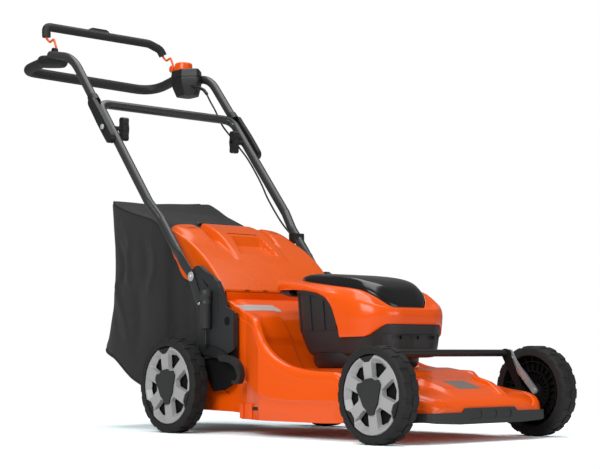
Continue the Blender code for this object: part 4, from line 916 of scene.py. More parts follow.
hood = dict(
    wall=0.0030, stretch=0.88, square=0.55,
    seam=((-0.2175, 0.2515), (-0.1890, 0.2243), (-0.1100, 0.2233), (-0.1056, 0.2442), (-0.0961, 0.2669),
          (-0.0843, 0.2931), (-0.0624, 0.3149), (-0.0327, 0.3259), (0.0076, 0.3331), (0.0384, 0.3364), (0.150, 0.3400)),
    shoulder=((-0.225, 0.285), (-0.150, 0.312), (-0.050, 0.334), (0.050, 0.357), (0.100, 0.369)),
    lidEdge=((-0.2030, 0.2915), (-0.176, 0.316), (-0.143, 0.331), (-0.050, 0.345), (0.020, 0.355), (0.060, 0.3615),
             (0.100, 0.3690)),
    crown=((-0.195, 0.322), (-0.165, 0.347), (-0.100, 0.3645), (0.000, 0.374), (0.060, 0.3780), (0.095, 0.3790)),
    keel=((-0.200, 0.0125), (-0.050, 0.0065)), lidTaper=0.11, shelf=(0.1140, -0.1650, 0.0710, 0.069), shelfAt=0.2340,
    # Recess and slots of the front: low x, high x, low z, high z, depth
    cuts=(
        (-0.092, 0.092, 0.1975, 0.2300, 0.0062), (-0.076, -0.040, 0.2180, 0.2262, 0.0110),
        (-0.018, 0.018, 0.2180, 0.2262, 0.0110), (0.040, 0.076, 0.2180, 0.2262, 0.0110),
    ),
    steps=4, stepLift=0.0026, stepFoot=0.2400, stepTop=0.3300,
    # Wedge under the overhang: half width, rear, z, share of its reach
    wedge=((0.1225, 0.0835, 0.3225, 0.55), (0.1250, 0.0855, 0.3290, 0.90), (0.1250, 0.0855, 0.3362, 1.0)),
    wedgeFrom=0.052,
)


def seamAt(y):
    return between(hood["seam"], y)


def hoodRing(half, front, rear, radius, height, visor=False):
    made = []
    for x, y in planPoints(half, front, rear, radius, square=hood["square"] if visor else 1.0):
        far = y + max(0.0, y - 0.020) * hood["stretch"] if visor else y
        made.append((x, far, height(y)))
    return made


def lidRing(half, front, rear, radius, height, taper=None):
    # A ring of the lid or of its seat, narrower towards the front
    made = []
    for x, y, z in hoodRing(half, front, rear, radius, height):
        share = max(0.0, min(1.0, (-0.060 - y) / 0.140))
        made.append((x * (1 - (taper or hood["lidTaper"]) * share * share), y, z))
    return made


def hoodBodyShape():
    def low(z, share=1.0):
        return lambda y: z - share * between(hood["keel"], y)

    rings = [
        hoodRing(0.0700, -0.1320, 0.0080, 0.068, low(0.1935)),
        hoodRing(0.0700, -0.1320, 0.0080, 0.068, low(0.1897)),
        hoodRing(0.1020, -0.2010, 0.0330, 0.062, low(0.1897)),
        hoodRing(0.1095, -0.2110, 0.0440, 0.069, low(0.1910)),
        hoodRing(0.1150, -0.2175, 0.0530, 0.074, low(0.1960, 0.85)),
        hoodRing(0.1180, -0.2210, 0.0610, 0.076, low(0.2060, 0.5)),
        hoodRing(0.1225, -0.2243, 0.0770, 0.078, lambda y: min(0.2385, seamAt(y) - 0.0040)),
        hoodRing(0.1250, -0.2250, 0.0850, 0.080, seamAt),
        hoodRing(0.1220, -0.2220, 0.0820, 0.077, seamAt),
        hoodRing(0.1120, -0.2110, 0.0700, 0.068, lambda y: min(0.2365, seamAt(y) - 0.0050)),
        hoodRing(0.1060, -0.2050, 0.0480, 0.064, low(0.2000)),
        hoodRing(0.1000, -0.1980, 0.0320, 0.060, low(0.1935)),
    ]
    bm = loftShape(rings + rings[:1], (False, False))
    bmesh.ops.remove_doubles(bm, verts=bm.verts, dist=0.00001)
    bmesh.ops.recalc_face_normals(bm, faces=bm.faces)
    shelf = slabShape(planPoints(*hood["shelf"]), 0.0040, hood["shelfAt"], "z")
    body = carved(bm, shelf, operation="UNION")
    # The recess and its slots follow the curved front
    cutters = []
    plan = planPoints(0.1290, -0.2290, 0.0890, 0.084, arc=24, side=40)
    for low, high, z0, z1, depth in hood["cuts"]:
        front = sorted(p for p in plan if low <= p[0] <= high and p[1] < -0.12)
        inset = [(x * (1 - depth / 0.115), y + depth + 0.0060 * (1 - abs(x) / 0.10)) for x, y in reversed(front)]
        cutters.append(slabShape(front + inset, z1 - z0, (z0 + z1) / 2, "z"))
    return carved(body, *cutters)


def ventShape(sign):
    # Upright steps of the vent panel, each leaning out towards the front
    high = [Vector(p) for p in planPoints(0.1250, -0.2250, 0.0850, 0.080, arc=40, side=160)]
    low = [Vector(p) for p in planPoints(0.1225, -0.2243, 0.0770, 0.078, arc=40, side=160)]
    right = [(a, b) for a, b in zip(high, low) if a.x < 0 and -0.1030 < a.y < 0.0700]
    right.sort(key=lambda pair: pair[0].y)
    lengths = [0.0]
    for (a, _), (b, _) in zip(right, right[1:]):
        lengths.append(lengths[-1] + (b - a).length)
    outward = []
    for i in range(len(right)):
        run = (right[min(i + 1, len(right) - 1)][0] - right[max(i - 1, 0)][0]).normalized()
        outward.append(Vector((-run.y, run.x)))
    shapes = []
    count = hood["steps"]
    for k in range(count):
        start, end = lengths[-1] * (k + 0.02) / count, lengths[-1] * (k + 0.98) / count
        rings = []
        for (point, under), out, far in zip(right, outward, lengths):
            if not start <= far <= end:
                continue
            lift = out * (hood["stepLift"] * (end - far) / (end - start) + 0.0004)
            top, foot = min(seamAt(point.y) - 0.0085, hood["stepTop"]), hood["stepFoot"]
            sunk = out * 0.0018
            corners = ((under - sunk, foot), (under + lift, foot), (point + lift, top), (point - sunk, top))
            rings.append([(p.x * -sign, p.y, z) for p, z in corners])
        shapes.append(loftShape(rings))
    # Frame along the panel's top and front edge
    rings = []
    for (point, _), out in zip(right, outward):
        top = seamAt(point.y)
        foot, face = point - out * 0.0015, point + out * 0.0034
        corners = ((foot, top - 0.0100), (face, top - 0.0080), (face, top - 0.0004), (foot, top - 0.0002))
        rings.append([(p.x * -sign, p.y, z) for p, z in corners])
    shapes.append(loftShape(rings))
    return merged(*shapes)


def hoodShellShape():
    def flank(share):
        return lambda y: seamAt(y) * (1 - share) + smoothBetween(hood["shoulder"], y) * share

    def edge(drop, back=0.0):
        return lambda y: smoothBetween(hood["lidEdge"], y - back) - drop

    rings = [
        hoodRing(0.1245, -0.2245, 0.0845, 0.079, lambda y: seamAt(y) + 0.0003, True),
        hoodRing(0.1272, -0.2272, 0.0872, 0.081, lambda y: seamAt(y) + 0.0003, True),
        hoodRing(0.1280, -0.2280, 0.0876, 0.0815, lambda y: seamAt(y) + 0.0022, True),
        hoodRing(0.1290, -0.2292, 0.0878, 0.082, flank(0.30), True),
        hoodRing(0.1300, -0.2300, 0.0872, 0.082, flank(0.62), True),
        hoodRing(0.1275, -0.2288, 0.0850, 0.081, flank(0.88), True),
        hoodRing(0.1205, -0.2262, 0.0805, 0.077, lambda y: flank(1.0)(y) + 0.0010, True),
        hoodRing(0.1060, -0.2130, 0.0765, 0.066, edge(0.0024), True),
        lidRing(0.0940, -0.2062, 0.0950, 0.0585, edge(0.0016)),
        lidRing(0.0922, -0.2052, 0.0942, 0.0572, edge(0.0026)),
        lidRing(0.0920, -0.2050, 0.0940, 0.0570, edge(0.0110)),
        lidRing(0.0800, -0.1920, 0.0810, 0.0450, edge(0.0138, 0.0130)),
    ]
    fine = smoothRings(rings[2:9], 5, tight=(0,))
    return loftShape(rings[:2] + fine + rings[9:], (False, False))


def lidShape():
    def edge(drop):
        return lambda y: smoothBetween(hood["lidEdge"], y) - drop

    def crown(drop):
        return lambda y: smoothBetween(hood["crown"], y) - drop

    rings = [
        lidRing(0.0870, -0.1995, 0.0890, 0.052, edge(0.0106)),
        lidRing(0.0900, -0.2025, 0.0920, 0.055, edge(0.0104)),
        lidRing(0.0903, -0.2028, 0.0922, 0.055, edge(0.0012)),
        lidRing(0.0896, -0.2020, 0.0910, 0.055, edge(-0.0040)),
        lidRing(0.0862, -0.1920, 0.0860, 0.053, lambda y: (edge(-0.0070)(y) + crown(0.0080)(y)) / 2, 0.15),
        lidRing(0.0800, -0.1770, 0.0780, 0.049, crown(0.0052), 0.20),
        lidRing(0.0640, -0.1560, 0.0640, 0.040, crown(0.0018), 0.22),
        lidRing(0.0400, -0.1350, 0.0460, 0.025, crown(0.0002)),
        lidRing(0.0120, -0.1100, 0.0200, 0.008, crown(0.0)),
    ]
    return loftShape(rings[:2] + smoothRings(rings[2:], 4, tight=(0,)), (False, True))


def visorShape():
    # Dark wedge under the shell's overhang behind the body
    start = hood["wedgeFrom"]
    rings = []
    for half, rear, z, pull in hood["wedge"]:
        plan = [(x, y) for x, y, _ in hoodRing(half, -0.2255, rear, 0.080, seamAt, True) if y > start]
        outline = [(x, start + (y - start) * pull, z) for x, y in plan]
        outline.sort(key=lambda p: math.atan2(p[1] + 0.02, p[0]))
        rings.append(outline)
    return loftShape(rings)


motorFoot = dict(
    centre=(0, -0.0620, 0),
    profile=(
        (0.1180, 0.1895), (0.1212, 0.1885), (0.1220, 0.1850), (0.1212, 0.1700), (0.1180, 0.1600), (0.1140, 0.1562),
        (0.1100, 0.1550), (0.0163, 0.1550), (0.0163, 0.1690), (0.0125, 0.1690), (0.0125, 0.1977), (0.0163, 0.1977),
        (0.0163, 0.2095), (0.0197, 0.2095), (0.0197, 0.1777), (0.0250, 0.1777), (0.0250, 0.1590), (0.1090, 0.1590),
        (0.1145, 0.1650), (0.1145, 0.1895), (0.1180, 0.1895),
    ),
)
foot = spunShape(motorFoot["profile"], motorFoot["centre"], (0, 0, 1), 96)
addPiece("motor_foot", foot, "black", "chassis", ["motor_base"], sharp=30)
addPiece("hood_core", hoodBodyShape(), "grey", "chassis", ["hood_body"], sharp=25)
for side, sign in (("right", -1), ("left", 1)):
    addPiece("vent_panel_" + side, ventShape(sign), "grey", "chassis", sharp=25)
addPiece("hood_cover", hoodShellShape(), "orange", "chassis", ["hood_shell"], sharp=28, wall=hood["wall"])
addPiece("visor_lip", visorShape(), "black", "chassis", bevel=0.0015)
addPiece("lid_cover", lidShape(), "gloss", "battery_lid", ["battery_lid"], sharp=40, wall=hood["wall"])
print("hood made")


# Rear flap: a curved cover with three humps, a recess in the middle one and a slotted front lip

flap = dict(
    wall=0.0035, half=0.1845, columnStep=0.0029, rowSteps=9,
    line=((0.2378, 0.3388), (0.2376, 0.3415), (0.2388, 0.3446), (0.2430, 0.3490), (0.2640, 0.3712), (0.2880, 0.3962),
          (0.3130, 0.4200), (0.3480, 0.4472), (0.3960, 0.4770), (0.4200, 0.4893), (0.4400, 0.4990), (0.4560, 0.5055),
          (0.4700, 0.5100)),
    foot=((0.2390, 0.3365), (0.2395, 0.3370), (0.2405, 0.3380), (0.2440, 0.3395), (0.2600, 0.3445), (0.2870, 0.3480),
          (0.3150, 0.3540), (0.3540, 0.3640), (0.3980, 0.3780), (0.4160, 0.3950), (0.4320, 0.4200), (0.4465, 0.4360),
          (0.4600, 0.4600)),
    middleAlong=((0.3160, 0.0), (0.3330, 0.28), (0.3640, 0.62), (0.3940, 0.90), (0.4150, 1.0), (0.4700, 0.92)),
    sideAlong=((0.3700, 0.0), (0.3880, 0.25), (0.4150, 0.80), (0.4300, 1.0), (0.4700, 0.92)),
    humpAcross=((0.0, 1.0), (0.074, 1.0), (0.081, 0.88), (0.086, 0.05), (0.089, 0.0), (0.099, 0.0), (0.102, 0.05),
                (0.108, 0.64), (0.115, 0.72), (0.150, 0.60), (0.166, 0.38), (0.1845, -0.40)),
    hump=0.0185, channel=0.0060, pitFloor=-0.0035, pitWidth=((0.3320, 0.059), (0.3890, 0.046)),
    slits=((-0.052, 0.046, 0.4010), (-0.148, -0.118, 0.4380), (0.118, 0.148, 0.4380)),  # low x, high x, y
    eye=((0.2435, 0.3330), (0.2500, 0.3295), (0.2565, 0.3330), (0.2640, 0.3500), (0.2780, 0.3800), (0.2660, 0.3685),
         (0.2470, 0.3495), (0.2425, 0.3400)),
    eyesAt=(-0.120, 0.120), eyeWidth=0.012, slotsAt=(-0.120, -0.064, -0.006, 0.052, 0.108), slotWidth=0.0120,
)


def flapLift(x, y):
    x = abs(x)
    along = flap["middleAlong"] if x < 0.0925 else flap["sideAlong"]
    lift = flap["hump"] * smoothBetween(along, y) * smoothBetween(flap["humpAcross"], x)
    edge = min((x - 0.085) / 0.003, (0.103 - x) / 0.003, (y - 0.3950) / 0.005)
    lift -= flap["channel"] * max(0.0, min(1.0, edge))
    (low, _), (high, _) = flap["pitWidth"]
    edge = min((between(flap["pitWidth"], y) - x) / 0.0035, (y - low) / 0.004, (high - y) / 0.004)
    share = max(0.0, min(1.0, edge))
    return lift * (1 - share) + flap["pitFloor"] * share


def flapShape():
    half = flap["half"]
    count = round(2 * (half - 0.006) / flap["columnStep"])
    columns = [-(half - 0.006) + 2 * (half - 0.006) * k / count for k in range(count + 1)]
    last = len(flap["line"]) - 1
    rings = []
    for i in range(last * flap["rowSteps"] + 1):
        t = i / flap["rowSteps"]
        y, z, footY, footZ = (
            smoothBetween([(k, point[axis]) for k, point in enumerate(table)], t)
            for table in (flap["line"], flap["foot"]) for axis in (0, 1)
        )
        top = [(x, y, z + flapLift(x, y)) for x in columns]
        edgeZ = top[-1][2]
        side = []
        for k in range(1, 5):
            a = math.pi / 2 * k / 4
            side.append((half - 0.006 + 0.006 * math.sin(a), y, edgeZ - 0.006 * (1 - math.cos(a)) * min(1.0, t)))
        for share in (0.35, 0.7, 1.0):
            side.append((half + 0.0015 * share, y + (footY - y) * share, side[3][2] + (footZ - side[3][2]) * share))
        left = [(-x, yy, zz) for x, yy, zz in reversed(side)]
        rings.append(left + top + side)
    bm = loftShape(rings, (False, False), closed=False)
    highest = max(bm.faces, key=lambda face: face.calc_center_median().z)
    if highest.normal.z < 0:
        bmesh.ops.reverse_faces(bm, faces=bm.faces)
    skin = loose(bm)
    shell = skin.modifiers.new("wall", "SOLIDIFY")
    shell.thickness = flap["wall"]
    shell.offset = -1
    shell.use_even_offset = False
    solid = evaluated(skin)
    hole = ringOf(deck["rod"][:2], deck["rod"][2], 24)
    eyes = [slabShape(flap["eye"], flap["eyeWidth"], x, "x", [hole]) for x in flap["eyesAt"]]
    solid = carved(solid, *eyes, operation="UNION")
    slots = [boxShape((x, 0.2330, 0.3395), (x + flap["slotWidth"], 0.2450, 0.3450)) for x in flap["slotsAt"]]
    for low, high, y in flap["slits"]:
        z = between(flap["line"], y) + flapLift((low + high) / 2, y)
        slots.append(slabShape([(y, z - 0.0045), (y + 0.0028, z - 0.0035), (y + 0.0028, z + 0.012), (y, z + 0.012)],
                               high - low, (low + high) / 2, "x"))
    return carved(solid, *slots)


# The flap's darker orange is painted shade on the same orange plastic as the deck
addPiece("flap_cover", flapShape(), "flap", "rear_flap", ["rear_flap"], sharp=26)
print("flap made")


# Brackets beside the deck, their bolts, and the spring that carries the weight

bracket = dict(
    inner=0.2085, thickness=0.0040, boltAt=(0.3290, 0.3780), smallAt=(0.2998, 0.3125), holeAt=(0.1905, 0.2660),
    outline=((0.2500, 0.3780), (0.2220, 0.3480), (0.1980, 0.3020), (0.1660, 0.2890), (0.1660, 0.1975),
             (0.2000, 0.1850), (0.2750, 0.1780), (0.3250, 0.1820), (0.3320, 0.2100), (0.3080, 0.2400),
             (0.3100, 0.2840), (0.3420, 0.3700), (0.3350, 0.3920), (0.3180, 0.4030)),
    wing=((0.3180, 0.4030), (0.3060, 0.4040), (0.2320, 0.3620), (0.2240, 0.3470), (0.2010, 0.3020), (0.2130, 0.2990),
          (0.2330, 0.3350), (0.2600, 0.3430), (0.3050, 0.3900)),
    rib=((0.2240, 0.2900), (0.2290, 0.2900), (0.2320, 0.3330), (0.2270, 0.3330)),
    # Near-black apron behind the plate: the bracket's lower part, coloured as painted shade and covering deck that lies
    # in shade; and the stand-off bosses (y, z, foot)
    apron=((0.1660, 0.2100), (0.1600, 0.1650), (0.1640, 0.1380), (0.1780, 0.1180), (0.2100, 0.1040), (0.2550, 0.1000),
           (0.2880, 0.1500), (0.2900, 0.2100)),
    bosses=((0.2650, 0.2900, 0.1883), (0.2200, 0.2250, 0.1887)), boss=0.010, smallPad=0.0102, holeShade=0.0102,
    # Three cornered pocket in the wing: its x, then (y, z) of its corners, outside and inside
    pocket=((0.2140, ((0.2960, 0.3760), (0.2620, 0.3520), (0.2680, 0.3490))),
            (0.2030, ((0.2940, 0.3740), (0.2640, 0.3530), (0.2690, 0.3500)))),
    bolt=0.0042, boltHole=0.0045, axleHole=0.0075, flatEnd=0.0046,
)
rearPivot = (0.310, 0.2005)
for side, sign in (("right", -1), ("left", 1)):
    middle = sign * (bracket["inner"] + bracket["thickness"] / 2)
    outer = sign * (bracket["inner"] + bracket["thickness"])
    holes = [ringOf(bracket["boltAt"], bracket["boltHole"], 24), ringOf(rearPivot, bracket["axleHole"], 24)]
    plateShape = slabShape(roundedPath(bracket["outline"], 0.006, True, 4), bracket["thickness"], middle, "x", holes)
    adds = [slabShape(roundedPath(bracket["wing"], 0.004, True, 3), 0.0130, sign * 0.2055, "x")]
    face = bracket["inner"] + bracket["thickness"]
    adds.append(sideBox(sign, (0.1975, face - 0.001), (0.1665, 0.1705), (0.2000, 0.2850)))
    for y, z, foot in bracket["bosses"]:
        adds.append(rodShape((sign * foot, y, z), (outer - sign * 0.001, y, z), bracket["boss"], 24))
    adds.append(slabShape(ringOf(bracket["smallAt"], bracket["smallPad"], 32), 0.0036, outer, "x"))
    adds.append(slabShape(bracket["rib"], 0.0030, outer, "x"))
    solid = carved(plateShape, *adds, operation="UNION")
    pocket = loftShape([[(sign * x, y, z) for y, z in corners] for x, corners in bracket["pocket"]])
    holeAt = bracket["holeAt"]
    # The dimple and the near-black disc in it stand for the bracket's hole: the disc is painted shade inside the hole
    dimple = rodShape((outer - sign * 0.0028, *holeAt), (outer + sign * 0.002, *holeAt), bracket["holeShade"] + 0.0004, 32)
    solid = carved(solid, pocket, dimple)
    holeShade = rodShape((outer - sign * 0.0020, *holeAt), (outer + sign * 0.0004, *holeAt), bracket["holeShade"], 32)
    addPiece("bracket_hole_shade_" + side, holeShade, "shade", "chassis", bevel=0.0004)
    # The apron is partly the bracket's dark lower part and partly painted shade over the deck between the wheel and the
    # lever
    apron = slabShape(roundedPath(bracket["apron"], 0.005, True, 4), 0.0030, sign * 0.2040, "x")
    addPiece("bracket_apron_shade_" + side, apron, "shade", "chassis", bevel=0.0006)
    addPiece("bracket_" + side, solid, "grey", "chassis", ["handle_bracket_" + side], bevel=0.0010)
    y, z = bracket["smallAt"]
    axis = (sign, 0, 0)
    small = [(0.0, face + 0.0044), (0.0040, face + 0.0044), (0.0052, face + 0.0032), (0.0052, face), (0.0, face)]
    addPiece("small_bolt_" + side, spunShape(small, (0, y, z), axis, 24), "zinc", "chassis")
    head = face + gap + bracket["flatEnd"] + gap
    profile = [
        (0.0, head + 0.0052), (0.0036, head + 0.0052), (0.0050, head + 0.0038), (0.0050, head + 0.0016),
        (0.0066, head + 0.0014), (0.0114, head + 0.0012), (0.0118, head + 0.0006), (0.0116, head),
        (bracket["bolt"], head), (bracket["bolt"], 0.2050), (0.0, 0.2050),
    ]
    y, z = bracket["boltAt"]
    addPiece("pivot_bolt_" + side, spunShape(profile, (0, y, z), axis, 32), "zinc", "chassis", ["handle_bolt_" + side])

spring = dict(
    at=(-0.2245, 0.2585),
    barrel=(
        (0.0042, 0.2490), (0.0112, 0.2490), (0.0128, 0.2504), (0.0132, 0.2610), (0.0136, 0.2632), (0.0138, 0.3060),
        (0.0146, 0.3076), (0.0146, 0.3112), (0.0138, 0.3128), (0.0140, 0.3225), (0.0150, 0.3242), (0.0152, 0.3360),
        (0.0135, 0.3400), (0.0100, 0.3420), (0.0042, 0.3420), (0.0042, 0.2490),
    ),
)
barrel = spunShape(spring["barrel"], (*spring["at"], 0), (0, 0, 1), 40)
addPiece("spring_barrel", barrel, "grey", "chassis", ["assist_spring_housing"])
nodes["assist_rod"].data.materials[0] = looks["black"]
print("brackets made")


# Axles, height lever and its hooked grip

def fineLine(points, steps=5):
    # A smooth line through the points, with the values interpolated alike
    last = len(points) - 1
    size = len(points[0])
    return [
        tuple(smoothBetween([(k, p[axis]) for k, p in enumerate(points)], i / steps) for axis in range(size))
        for i in range(last * steps + 1)
    ]


crank = dict(
    x=0.2138, thick=0.0052, bar=0.0078, stub=0.0060, stubEnd=0.2590, wide=0.0170, narrow=0.0150,
    bend=((0.0, 0.2138), (0.18, 0.2140), (0.30, 0.2150), (0.42, 0.2178), (0.60, 0.2262), (1.0, 0.2392)),
    rivets=(0.0, 0.13), rivet=0.0044, boss=0.0070,
    # Name, pivot, wheel's centre and cross bar as (y, z)
    axles=(
        ("front_axle", (-0.310, 0.1870), (-0.360, 0.1015), (-0.310, 0.1870)),
        ("rear_axle", rearPivot, (0.360, 0.1145), (0.360, 0.1145)),
    ),
)
crankMiddle = crank["x"] + crank["thick"] / 2
for name, pivot, centre, barAt in crank["axles"]:
    bar = rodShape((-crankMiddle, *barAt), (crankMiddle, *barAt), crank["bar"], 32)
    addPiece(name + "_bar", bar, "black" if name == "front_axle" else "tube", name, [name])
    for side, sign in (("right", -1), ("left", 1)):
        pivotAt, centreAt = Vector(pivot), Vector(centre)
        across = Vector((centreAt.y - pivotAt.y, pivotAt.x - centreAt.x)).normalized()
        rings = []
        for share, x in crank["bend"]:
            at = pivotAt.lerp(centreAt, share)
            away = across * (crank["wide"] + (crank["narrow"] - crank["wide"]) * share) / 2
            rings.append([(sign * (x + dx), *(at + away * turn)) for dx, turn in
                          ((0, -1), (0, 1), (crank["thick"], 1), (crank["thick"], -1))])
        arm = loftShape(rings)
        end, thick = crank["bend"][-1][1], crank["thick"]
        adds = [
            rodShape((sign * crank["x"], *pivot), (sign * (crank["x"] + thick), *pivot), crank["wide"] / 2, 32),
            rodShape((sign * end, *centre), (sign * (end + thick), *centre), crank["narrow"] / 2, 32),
            rodShape((sign * (end - 0.0020), *centre), (sign * crank["stubEnd"], *centre), crank["stub"], 32),
        ]
        if name == "rear_axle":
            adds.append(rodShape((sign * 0.2045, *pivot), (sign * (crank["x"] + 0.001), *pivot), crank["boss"], 32))
            near, far = crankMiddle - 0.001, end + 0.001
            adds.append(rodShape((sign * near, *centre), (sign * far, *centre), crank["bar"], 32))
        else:
            near, far = crank["x"] - 0.0022, crank["x"] + thick + 0.0026
            for share in crank["rivets"]:
                spot = pivotAt.lerp(centreAt, share)
                adds.append(rodShape((sign * near, *spot), (sign * far, *spot), crank["rivet"], 16))
        look = "zinc" if name == "front_axle" else "tube"
        addPiece(name + "_crank_" + side, carved(arm, *adds, operation="UNION"), look, name, bevel=0.0006)

lever = dict(
    line=((0.2880, 0.1990, 0.020), (0.2450, 0.1950, 0.024), (0.2050, 0.1850, 0.020), (0.1780, 0.1760, 0.016)),
    hook=((0.1900, 0.1790, 0.0150), (0.1640, 0.1770, 0.0150), (0.1400, 0.1690, 0.0150), (0.1240, 0.1540, 0.0135),
          (0.1190, 0.1370, 0.0112), (0.1270, 0.1240, 0.0092), (0.1420, 0.1230, 0.0082)),
    eye=0.0093, pinAt=(0.2585, 0.2090), pin=0.0040, hookWidth=0.0150, hookAt=-0.2270,
)
line = fineLine(lever["line"])
arm = slabShape(barOutline([p[:2] for p in line], [p[2] for p in line]), crank["thick"], -crankMiddle, "x")
arm = carved(arm, rodShape((-0.23, *rearPivot), (-0.20, *rearPivot), lever["eye"], 32))
pin = rodShape((-crank["x"] - 0.001, *lever["pinAt"]), (-0.2275, *lever["pinAt"]), lever["pin"], 20)
addPiece("lever_arm", carved(arm, pin, operation="UNION"), "black", "rear_axle", ["height_lever"], bevel=0.0008)
line = fineLine(lever["hook"])
hook = slabShape(barOutline([p[:2] for p in line], [p[2] for p in line]), lever["hookWidth"], lever["hookAt"], "x")
addPiece("lever_hook", hook, "rubber", "rear_axle", ["height_lever_grip"], bevel=0.0035, segments=4, sharp=40)
print("axles made")


# Handles: bent tubes with flattened ends, clamps, knobs, grip loop, control box, button and bail

handle = dict(
    tube=0.0122, bore=0.0125, armX=0.2258, endX=0.2150, upperX=0.2350, fold=(0.678, 0.789), run=(0.6412, 0.7674),
    flats=((0.4150, 0.4745, 0.0122, 0.0122), (0.4000, 0.4560, 0.0112, 0.0124), (0.3900, 0.4440, 0.0084, 0.0128),
           (0.3800, 0.4320, 0.0048, 0.0132), (0.3700, 0.4200, 0.0026, 0.0138), (0.3600, 0.4090, 0.0023, 0.0138),
           (0.3400, 0.3900, 0.0023, 0.0128), (0.3290, 0.3720, 0.0023, 0.0125), (0.3130, 0.3420, 0.0023, 0.0122),
           (0.3020, 0.3210, 0.0023, 0.0116), (0.2980, 0.3130, 0.0023, 0.0080)),
    loop=0.0145, bailAxis=(0.9963, 1.0516), wire=0.0032, sleeve=0.0125,
    loopLine=((-0.2330, 1.0050, 1.0215), (-0.2500, 1.100, 1.0055), (0.1960, 1.100, 0.9980), (0.1985, 0.9620, 1.0210)),
)


def onArm(distance):
    return tuple(a + b * distance for a, b in zip(handle["fold"], handle["run"]))


def lowerArm(sign):
    return [
        (sign * handle["armX"], 0.7404, 0.8630), (sign * handle["armX"], 0.5000, 0.5750),
        (sign * handle["endX"], 0.4600, 0.5280), (sign * handle["endX"], 0.4090, 0.4672),
    ]


def flatEnd(sign):
    rings = []
    line = fineLine(handle["flats"], 3)
    for i, (y, z, thick, wide) in enumerate(line):
        ahead, behind = line[min(i + 1, len(line) - 1)], line[max(i - 1, 0)]
        run = Vector((0, behind[0] - ahead[0], behind[1] - ahead[1])).normalized()
        across = run.cross(Vector((1, 0, 0)))
        power = 1.0 if thick > 0.010 else 0.62
        ring = []
        for k in range(24):
            a = 2 * math.pi * k / 24
            c, s = math.cos(a), math.sin(a)
            flatC = math.copysign(abs(c) ** power, c)
            place = Vector((sign * handle["endX"], y, z)) + Vector((flatC * thick, 0, 0)) + across * s * wide
            ring.append(place)
        rings.append(ring)
    return loftShape(rings)


route = roundedPath(lowerArm(-1)[::-1] + lowerArm(1), [0, 0.03, 0.05, 0.035, 0.035, 0.05, 0.03, 0], steps=10)
lowerTube = merged(tubeShape(route, handle["tube"], 28), flatEnd(-1), flatEnd(1))
addPiece("lower_tube", lowerTube, "tube", "chassis", ["lower_handle"], sharp=40)


def upperRoute(sign):
    bend = [(0.8600, 1.0070), (0.9780, 1.0330)] if sign < 0 else [(0.8620, 1.0070), (0.9550, 1.0130)]
    x = sign * handle["upperX"]
    return roundedPath([(x, *onArm(0.1045)), (x, *bend[0]), (x, *bend[1])], 0.150 if sign < 0 else 0.110, steps=14)


loopLine = roundedPath(handle["loopLine"], [0, 0.030, 0.075, 0], steps=14)
addPiece("loop_grip", tubeShape(loopLine, handle["loop"], 28), "grip", "upper_handle", ["grip_loop"], sharp=40)

